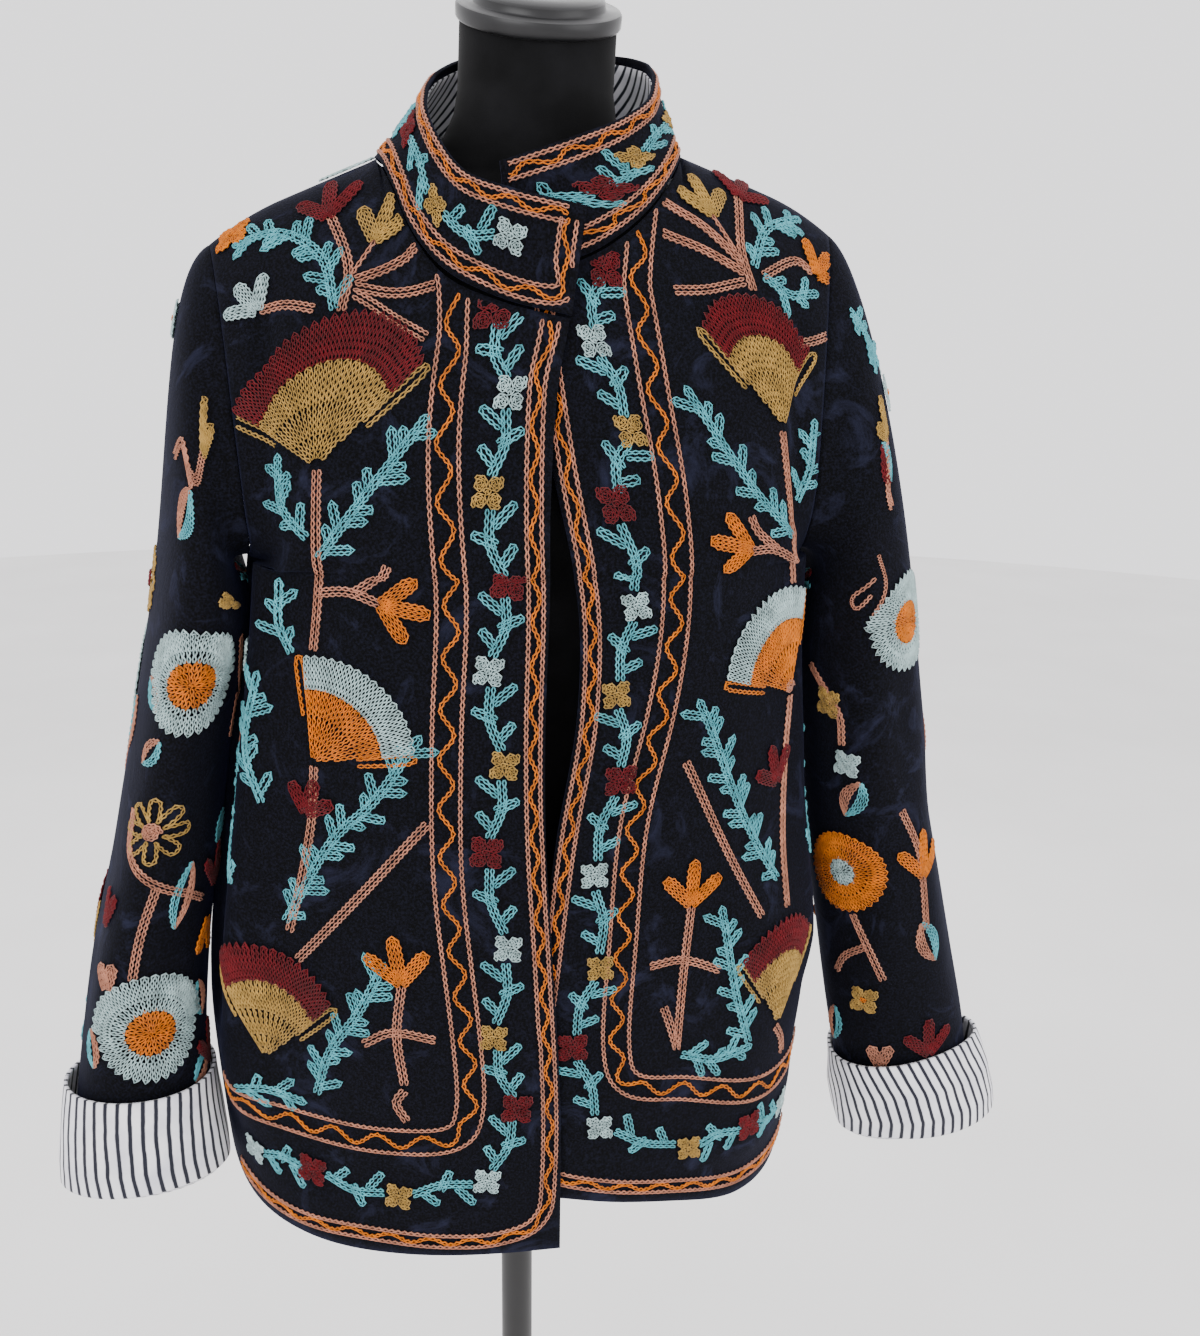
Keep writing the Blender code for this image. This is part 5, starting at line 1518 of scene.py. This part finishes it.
class JacketCloth(bpy.types.PropertyGroup):
    """Sizes and colours of the jacket's cloth."""

    thickness: bpy.props.FloatProperty(
        name="Velvet Thickness", description="Thickness of the velvet and its lining together",
        default=0.0022, min=0.001, max=0.003, subtype="DISTANCE", unit="LENGTH")
    cuff_thickness: bpy.props.FloatProperty(
        name="Cuff Thickness", description="Thickness of the folded cotton cuff",
        default=0.0024, min=0.001, max=0.004, subtype="DISTANCE", unit="LENGTH")
    spacing: bpy.props.FloatProperty(
        name="Grid Spacing", description="Distance between the points of the cloth's surface",
        default=0.0062, min=0.003, max=0.02, subtype="DISTANCE", unit="LENGTH")
    stripe_pitch: bpy.props.FloatProperty(
        name="Stripe Pitch", description="Distance from one printed stripe to the next",
        default=0.0078, min=0.002, max=0.03, subtype="DISTANCE", unit="LENGTH")
    stripe_width: bpy.props.FloatProperty(
        name="Stripe Width", description="Width of one printed stripe",
        default=0.0027, min=0.0005, max=0.01, subtype="DISTANCE", unit="LENGTH")
    pile: hex_setting("Pile", "Velvet's colour head-on, as sRGB hex", "#030304")
    # Bloom is painted sheen: the lighter navy mixed into the velvet's colour where its pile is crushed
    # and on its tips.
    bloom: hex_setting("Bloom", "Velvet's colour where its pile is crushed", "#1d1f30")
    cotton: hex_setting("Cotton", "Ground colour of the striped cotton", "#ecebef")
    stripe: hex_setting("Stripe", "Colour of the printed stripes", "#181a26")


class JacketStand(bpy.types.PropertyGroup):
    """Sizes and colours of the dress form and its stand."""

    columns: bpy.props.IntProperty(
        name="Columns", description="Points round the form and the turned pieces",
        default=96, min=24, max=256)
    cover: hex_setting("Cover", "Colour of the form's jersey cover", "#070708")
    steel: hex_setting("Steel", "Colour of the pole and base", "#1c1b1b")
    cap: hex_setting("Cap", "Colour of the neck cap", "#0c0c0e")


def cloth_materials(context):
    """The velvet and the striped cotton, made once."""
    look = context.scene.jacket_cloth
    velvet = bpy.data.materials.get("black_cotton_velvet")
    if velvet is None:
        # The bloom colour goes in as the velvet's painted sheen.
        velvet = velvet_material(srgb(look.pile), srgb(look.bloom))
    striped = bpy.data.materials.get("striped_cotton_poplin")
    if striped is None:
        striped = striped_material(srgb(look.cotton), srgb(look.stripe), look.stripe_pitch,
                                   look.stripe_width)
    return velvet, striped


class JACKET_OT_fronts(bpy.types.Operator):
    """Make the two velvet fronts with their folds and their striped lining"""

    bl_idname = "jacket.fronts"
    bl_label = "Fronts"

    def execute(self, context):
        look = context.scene.jacket_cloth
        velvet, striped = cloth_materials(context)
        for side, hand in SIDE_NAMES.items():
            name = "front_" + hand
            s, t = panel_grid(side, -1.0, look.spacing)
            points, _ = front_surface(side, s, t)
            piece = grid_object("velvet_" + name, points, False, side == RIGHT, [velvet, striped])
            thicken(piece, look.thickness, 1, tight_places(side, -1.0, s, t))
            place_piece(piece, "velvet", name)
        return {"FINISHED"}


class JACKET_OT_back(bpy.types.Operator):
    """Make the velvet back in one piece with its folds and lining"""

    bl_idname = "jacket.back"
    bl_label = "Back"

    def execute(self, context):
        look = context.scene.jacket_cloth
        velvet, striped = cloth_materials(context)
        halves, tight = [], []
        for side in (RIGHT, LEFT):
            s, t = panel_grid(side, 1.0, look.spacing)
            points, _ = back_surface(side, s, t)
            halves.append(points[:, ::-1] if side == RIGHT else points)
            near = tight_places(side, 1.0, s, t)
            tight.append(near[:, :0:-1] if side == RIGHT else near)
        middle = (halves[0][:, -1:] + halves[1][:, :1]) / 2
        points = np.concatenate([halves[0][:, :-1], middle, halves[1][:, 1:]], axis=1)
        piece = grid_object("velvet_back", points, False, True, [velvet, striped])
        thicken(piece, look.thickness, 1, np.concatenate(tight, axis=1))
        place_piece(piece, "velvet", "back")
        return {"FINISHED"}


class JACKET_OT_sleeves(bpy.types.Operator):
    """Make the two hanging sleeves with their creases and lining"""

    bl_idname = "jacket.sleeves"
    bl_label = "Sleeves"

    def execute(self, context):
        look = context.scene.jacket_cloth
        velvet, striped = cloth_materials(context)
        for side, hand in SIDE_NAMES.items():
            name = "sleeve_" + hand
            turns = np.linspace(0.0, 2 * math.pi, int(SLEEVE_GIRTH / look.spacing),
                                endpoint=False)
            cap = np.linspace(-1.0, 0.0, int(CAP_LENGTH / look.spacing))
            arm = np.linspace(0.0, 1.0, int(ARM_LENGTH / look.spacing))[1:]
            angle, station = np.meshgrid(turns, np.concatenate([cap, arm]))
            points, _ = sleeve_surface(side, angle, station)
            piece = grid_object("velvet_" + name, points, True, side == RIGHT, [velvet, striped])
            thicken(piece, look.thickness, 1)
            place_piece(piece, "velvet", name)
        return {"FINISHED"}


class JACKET_OT_cuffs(bpy.types.Operator):
    """Make the two turned-up striped cotton cuffs"""

    bl_idname = "jacket.cuffs"
    bl_label = "Cuffs"

    def execute(self, context):
        look = context.scene.jacket_cloth
        _, striped = cloth_materials(context)
        for side, hand in SIDE_NAMES.items():
            name = "cuff_" + hand
            turns = np.linspace(0.0, 2 * math.pi, 120, endpoint=False)
            angle, up = np.meshgrid(turns, np.linspace(0.0, 1.0, 34))
            points = cuff_surface(side, angle, up)
            piece = grid_object(name + "_cotton", points, True, side == LEFT, [striped])
            thicken(piece, look.cuff_thickness)
            place_piece(piece, "striped_cotton", name)
        return {"FINISHED"}


class JACKET_OT_collar(bpy.types.Operator):
    """Make the stand collar with its lapped tab, and its striped lining"""

    bl_idname = "jacket.collar"
    bl_label = "Collar"

    def execute(self, context):
        look = context.scene.jacket_cloth
        velvet, striped = cloth_materials(context)
        share, up = np.meshgrid(np.linspace(0.0, 1.0, 150), np.linspace(0.0, 1.0, 14))
        points, normal = collar_surface(share, up)
        piece = grid_object("velvet_collar", points, False, True, [velvet])
        thicken(piece, look.thickness)
        place_piece(piece, "velvet", "collar")
        inner = points - normal * (look.thickness + LINING_GAP)
        inner = inner[3:-1, 6:-6]
        lining = grid_object("collar_lining_cotton", inner, False, True, [striped])
        thicken(lining, LINING_WALL)
        place_piece(lining, "striped_cotton", "collar_lining")
        return {"FINISHED"}


class JacketStitch(bpy.types.PropertyGroup):
    """Sizes and colours of the embroidery yarn."""

    width: bpy.props.FloatProperty(
        name="Half Width", description="Half the width of one row of chain stitch, in millimetres",
        default=1.05, min=0.5, max=4.0)
    yarn: bpy.props.FloatProperty(
        name="Yarn Radius", description="Radius of one strand of yarn, in millimetres",
        default=0.66, min=0.2, max=1.5)
    aqua: hex_setting("Aqua", "Colour of the aqua yarn", "#62b8c3")
    red: hex_setting("Red", "Colour of the red yarn", "#6b0a15")
    mustard: hex_setting("Mustard", "Colour of the mustard yarn", "#b8924a")
    pale: hex_setting("Pale", "Colour of the pale yarn", "#b9d3d3")
    orange: hex_setting("Orange", "Colour of the orange yarn", "#e37a05")
    tan: hex_setting("Tan", "Colour of the tan yarn", "#c4846a")


def yarn_materials(context):
    """One yarn for each colour, made once, in the order that routes number them."""
    look = context.scene.jacket_stitch
    made = []
    for colour in YARNS:
        name = colour + "_cotton_yarn"
        found = bpy.data.materials.get(name)
        if found is None:
            bright = srgb(getattr(look, colour))
            found = yarn_material(name, bright, tuple(v * YARN_SHADE for v in bright[:3]) + (1.0,))
        made.append(found)
    return made


def add_stitching(context, name, work, lay):
    """Make one panel's embroidery, riding on the root body."""
    piece = chain_piece("embroidery_" + name, work, lay, yarn_materials(context))
    place_piece(piece, "striped_cotton")


def new_stitching(context):
    """Empty set of stitch routes with the set sizes."""
    look = context.scene.jacket_stitch
    return Stitching(look.width, look.yarn)


class JACKET_OT_front_embroidery(bpy.types.Operator):
    """Embroider both fronts in chain stitch"""

    bl_idname = "jacket.front_embroidery"
    bl_label = "Front Embroidery"

    def execute(self, context):
        for side, hand in SIDE_NAMES.items():
            _, lay = body_lay(side, -1.0)
            work = new_stitching(context)
            front_stitches(work, side)
            add_stitching(context, "front_" + hand, work, lay)
        return {"FINISHED"}


class JACKET_OT_back_embroidery(bpy.types.Operator):
    """Embroider both halves of the back in chain stitch"""

    bl_idname = "jacket.back_embroidery"
    bl_label = "Back Embroidery"

    def execute(self, context):
        for side, hand in SIDE_NAMES.items():
            chart, lay = body_lay(side, 1.0)
            work = new_stitching(context)
            back_stitches(work, float(chart["total"][0]) * 1000)
            add_stitching(context, "back_" + hand, work, lay)
        return {"FINISHED"}


class JACKET_OT_sleeve_embroidery(bpy.types.Operator):
    """Embroider both sleeves in chain stitch"""

    bl_idname = "jacket.sleeve_embroidery"
    bl_label = "Sleeve Embroidery"

    def execute(self, context):
        for side, hand in SIDE_NAMES.items():
            _, lay = sleeve_lay(side)
            work = new_stitching(context)
            stitch_all(work, SLEEVE_MOTIFS[side] + SLEEVE_HIDDEN)
            add_stitching(context, "sleeve_" + hand, work, lay)
        return {"FINISHED"}


class JACKET_OT_collar_embroidery(bpy.types.Operator):
    """Embroider the collar in chain stitch"""

    bl_idname = "jacket.collar_embroidery"
    bl_label = "Collar Embroidery"

    def execute(self, context):
        chart, lay = collar_lay()
        work = new_stitching(context)
        collar_stitches(work, float(chart["total"][0]) * 1000)
        add_stitching(context, "collar", work, lay)
        return {"FINISHED"}


def form_surface(columns):
    """Dress form in finer rings: its listed sections joined by smooth curves up the body."""
    rings = [form_ring(entry, columns) for entry in FORM]
    rings += [shoulder_ring(entry, columns) for entry in FORM_SHOULDER]
    rings += [form_ring(entry, columns) for entry in FORM_NECK]
    rings += [slanted_ring(NECK_TOP_RADIUS, 0.0, columns)]
    knots = np.array([ring[:, 2].mean() for ring in rings])
    rings = np.stack(rings)
    heights = np.concatenate([np.linspace(a, b, 5, endpoint=False)
                              for a, b in zip(knots[:-1], knots[1:])] + [knots[-1:]])
    flat = rings.reshape(len(rings), -1)
    share = np.stack([np.interp(heights, knots, flat[:, k]) for k in range(flat.shape[1])], axis=1)
    return share.reshape(len(heights), columns, 3)


def form_ring(entry, columns):
    """One section of the dress form, anticlockwise from +X: a superellipse."""
    value = dict(zip(FORM_NAMES, entry))
    angles = np.linspace(0.0, 2 * math.pi, columns, endpoint=False)
    power = 2 / value["power"]
    depth = np.where(np.sin(angles) < 0, value["front_depth"], value["back_depth"])
    x = value["middle_x"] + value["half_width"] * signed_power(np.cos(angles), power)
    y = value["middle_y"] + depth * signed_power(np.sin(angles), power)
    return np.stack([x, y, np.full_like(x, value["height"])], axis=-1)


def shoulder_ring(entry, columns):
    """Section of the form just under the jacket's shoulder line, found by halving."""
    height, front_depth, back_depth, power = entry
    reach = []
    for side in (RIGHT, LEFT):
        low, high = 0.0, 0.3
        for _ in range(HALVINGS):
            half = (low + high) / 2
            over = shoulder_height(SHOULDER_MIDDLE + side * half) > height + FORM_SHOULDER_GAP
            low, high = (half, high) if over else (low, half)
        reach.append(SHOULDER_MIDDLE + side * min(low, FORM_SHOULDER_REACH))
    middle, half_width = (reach[0] + reach[1]) / 2, (reach[1] - reach[0]) / 2
    ring = (height, half_width, front_depth, back_depth, middle, 0.0, power)
    return form_ring(ring, columns)


def slanted_ring(radius, lift, columns):
    """Circle in the neck's slanted plane, moved out along its axis."""
    angles = np.linspace(0.0, 2 * math.pi, columns, endpoint=False)
    x, y = radius * np.cos(angles), radius * np.sin(angles)
    axis = np.array([0.0, -math.sin(NECK_SLANT), math.cos(NECK_SLANT)])
    across = np.array([0.0, math.cos(NECK_SLANT), math.sin(NECK_SLANT)])
    centre = np.array(NECK_TOP_CENTRE) + axis * lift
    return centre + x[:, None] * np.array([1.0, 0.0, 0.0]) + y[:, None] * across


def turned_rings(profile, columns):
    """Rings of a turned shape: each profile point (radius, height) swept round the Z axis."""
    angles = np.linspace(0.0, 2 * math.pi, columns, endpoint=False)
    profile = np.asarray(profile)
    x = profile[:, :1] * np.cos(angles)
    y = profile[:, :1] * np.sin(angles)
    return np.stack([x, y, np.repeat(profile[:, 1:], columns, axis=1)], axis=-1)


def closed_rings(name, rings, materials):
    """Closed solid through rings from bottom to top, with a flat fan of faces at each end."""
    rows, columns = rings.shape[:2]
    faces = grid_faces(rows, columns, True, False).tolist()
    points = np.concatenate([rings.reshape(-1, 3), rings[:1].mean(axis=1), rings[-1:].mean(axis=1)])
    foot, head = rows * columns, rows * columns + 1
    ring = np.arange(columns)
    over = np.roll(ring, -1)
    top = ring + (rows - 1) * columns
    faces += np.stack([over, ring, np.full(columns, foot)], axis=1).tolist()
    faces += np.stack([top, over + (rows - 1) * columns, np.full(columns, head)], axis=1).tolist()
    mesh = new_mesh(name, points.tolist(), faces, materials)
    mesh.set_sharp_from_angle(angle=math.radians(40.0))
    return new_piece(mesh)


class JACKET_OT_form(bpy.types.Operator):
    """Make the limbless dress form, its neck cap, its pole and its base"""

    bl_idname = "jacket.form"
    bl_label = "Form and Stand"

    def execute(self, context):
        look = context.scene.jacket_stand
        jersey = jersey_material(srgb(look.cover))
        cap_steel = metal_material("satin_painted_cap", srgb(look.cap), 0.34, 0.2)
        steel = metal_material("black_lacquered_steel", srgb(look.steel), 0.42, 0.3)
        body = closed_rings("form_cover", form_surface(look.columns), [jersey])
        place_piece(body, "form_cover", "form_body")
        lift = SEAM_GAP
        rim = lift + CAP_RIM_HEIGHT
        steps = ((CAP_RADIUS - 0.0030, 0.0), (CAP_RADIUS - 0.0009, 0.0006), (CAP_RADIUS, 0.0020),
                 (CAP_RADIUS, rim - 0.0023), (CAP_RADIUS - 0.0009, rim - 0.0009),
                 (CAP_RADIUS - 0.0030, rim - lift), (CAP_STEP_RADIUS + 0.001, rim - lift + 0.0003),
                 (CAP_STEP_RADIUS, rim - lift + 0.0012),
                 (CAP_STEP_RADIUS - 0.0006, rim - lift + CAP_STEP_HEIGHT - 0.0015),
                 (CAP_STEP_RADIUS - 0.0022, rim - lift + CAP_STEP_HEIGHT - 0.0002),
                 (0.018, rim - lift + CAP_STEP_HEIGHT))
        rings = [slanted_ring(radius, lift + height, look.columns) for radius, height in steps]
        cap = closed_rings("form_cap_disc", np.stack(rings), [cap_steel])
        place_piece(cap, "dark_metal", "form_neck_cap")
        top = FORM[0][0] - SEAM_GAP
        foot = BASE_THICKNESS + BASE_BOSS_HEIGHT + SEAM_GAP
        pole = ((POLE_RADIUS, foot), (POLE_RADIUS, foot + 0.30), (POLE_RADIUS, foot + 0.60),
                (POLE_RADIUS, top - FLANGE_HEIGHT - 0.004), (POLE_RADIUS + 0.004, top - 0.0105),
                (FLANGE_RADIUS - 0.001, top - FLANGE_HEIGHT), (FLANGE_RADIUS, top - 0.007),
                (FLANGE_RADIUS, top - 0.001), (FLANGE_RADIUS - 0.001, top))
        post = closed_rings("stand_pole", turned_rings(pole, look.columns), [steel])
        place_piece(post, "black_metal", "form_pole")
        boss = BASE_THICKNESS + BASE_BOSS_HEIGHT
        plate = ((BASE_RADIUS - 0.0015, 0.0), (BASE_RADIUS, 0.0015),
                 (BASE_RADIUS, BASE_THICKNESS - BASE_EDGE),
                 (BASE_RADIUS - 0.0009, BASE_THICKNESS - 0.0009),
                 (BASE_RADIUS - BASE_EDGE, BASE_THICKNESS), (BASE_BOSS_RADIUS + 0.008, BASE_THICKNESS),
                 (BASE_BOSS_RADIUS + 0.003, BASE_THICKNESS + 0.0015),
                 (BASE_BOSS_RADIUS, BASE_THICKNESS + 0.006),
                 (BASE_BOSS_RADIUS - 0.011, boss - 0.0015), (BASE_BOSS_RADIUS - 0.0125, boss))
        disc = closed_rings("stand_base", turned_rings(plate, look.columns), [steel])
        place_piece(disc, "black_metal", "form_base")
        return {"FINISHED"}


# Soft lights: name, place, aim, size in metres, power in watts
LIGHTS = (
    ("window_light", (-1.5, -1.9, 2.3), (0.0, 0.0, 1.1), 1.6, 30.0),
    ("room_light", (1.9, -1.5, 1.9), (0.0, 0.0, 1.1), 1.8, 18.0),
    ("back_light", (0.3, 2.2, 2.2), (0.0, 0.0, 1.1), 1.8, 26.0),
)
FLOOR_RADIUS, FLOOR_TOP = 7.0, -0.0002
CAMERA_PLACE = (-0.0818, -0.7979, 1.272)
CAMERA_LENS = 32.4
CAMERA_PITCH, CAMERA_AZIMUTH, CAMERA_ROLL = 15.2, 10.0, 1.0


class JACKET_OT_stage(bpy.types.Operator):
    """Make the pale floor, the soft lights and the camera"""

    bl_idname = "jacket.stage"
    bl_label = "Stage"

    def execute(self, context):
        scene = context.scene
        paint = floor_material(srgb("#f1f0ef"))
        slab = ((0.05, -0.01), (FLOOR_RADIUS, -0.01), (FLOOR_RADIUS, FLOOR_TOP), (0.05, FLOOR_TOP))
        floor = closed_rings("floor", turned_rings(slab, 96), [paint])
        world = bpy.data.worlds.new("soft_daylight")
        world.use_nodes = True
        sky = world.node_tree.nodes["Background"]
        sky.inputs["Color"].default_value = srgb("#e9e8ea")
        sky.inputs["Strength"].default_value = 2.2
        scene.world = world
        for name, place, aim, size, power in LIGHTS:
            light = bpy.data.lights.new(name, "AREA")
            light.shape = "SQUARE"
            light.size = size
            light.energy = power
            lamp = bpy.data.objects.new(name, light)
            lamp.location = place
            lamp.rotation_euler = turned_to(place, aim)
            scene.collection.objects.link(lamp)
        lens = bpy.data.cameras.new("photo_camera")
        lens.sensor_width = 36.0
        lens.lens = CAMERA_LENS
        camera = bpy.data.objects.new("photo_camera", lens)
        camera.location = CAMERA_PLACE
        camera.rotation_euler = camera_turn()
        scene.collection.objects.link(camera)
        scene.camera = camera
        return {"FINISHED"}


def turned_to(place, aim):
    """Euler angles that point an object's -Z axis from a place to an aim."""
    dx, dy, dz = (np.array(aim) - np.array(place)).tolist()
    flat = math.hypot(dx, dy)
    return (math.pi / 2 + math.atan2(dz, flat), 0.0, math.atan2(dy, dx) - math.pi / 2)


def camera_turn():
    """Camera's Euler angles: azimuth, pitch down, then a small roll about its own axis."""
    turn = Euler((math.radians(90 - CAMERA_PITCH), 0.0, -math.radians(CAMERA_AZIMUTH))).to_matrix()
    roll = Euler((0.0, 0.0, math.radians(CAMERA_ROLL))).to_matrix()
    return (turn @ roll).to_euler()


class JACKET_PT_panel(bpy.types.Panel):
    """Panel of the jacket's settings and pieces"""

    bl_idname = "JACKET_PT_panel"
    bl_label = "Embroidered Jacket"
    bl_space_type = "VIEW_3D"
    bl_region_type = "UI"
    bl_category = "Jacket"

    def draw(self, context):
        for group in (getattr(context.scene, name) for name in GROUPS):
            for name in group.bl_rna.properties.keys():
                if name not in ("rna_type", "name"):
                    self.layout.prop(group, name)
        for operator in OPERATORS:
            self.layout.operator(operator.bl_idname)


OPERATORS = (JACKET_OT_fronts, JACKET_OT_back, JACKET_OT_sleeves, JACKET_OT_cuffs,
             JACKET_OT_collar, JACKET_OT_front_embroidery, JACKET_OT_back_embroidery,
             JACKET_OT_sleeve_embroidery, JACKET_OT_collar_embroidery, JACKET_OT_form,
             JACKET_OT_stage)
GROUPS = {"jacket_cloth": JacketCloth, "jacket_stitch": JacketStitch, "jacket_stand": JacketStand}


def register():
    """Register the settings, the operators and the panel."""
    for name, group in GROUPS.items():
        bpy.utils.register_class(group)
        setattr(bpy.types.Scene, name, bpy.props.PointerProperty(type=group))
    for kind in (*OPERATORS, JACKET_PT_panel):
        bpy.utils.register_class(kind)


def unregister():
    """Take the settings, the operators and the panel out again."""
    for kind in (JACKET_PT_panel, *reversed(OPERATORS)):
        bpy.utils.unregister_class(kind)
    for name, group in GROUPS.items():
        delattr(bpy.types.Scene, name)
        bpy.utils.unregister_class(group)


def main():
    """Register the add-on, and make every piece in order."""
    register()
    for operator in OPERATORS:
        group, name = operator.bl_idname.split(".")
        getattr(getattr(bpy.ops, group), name)()


if __name__ == "__main__":
    main()
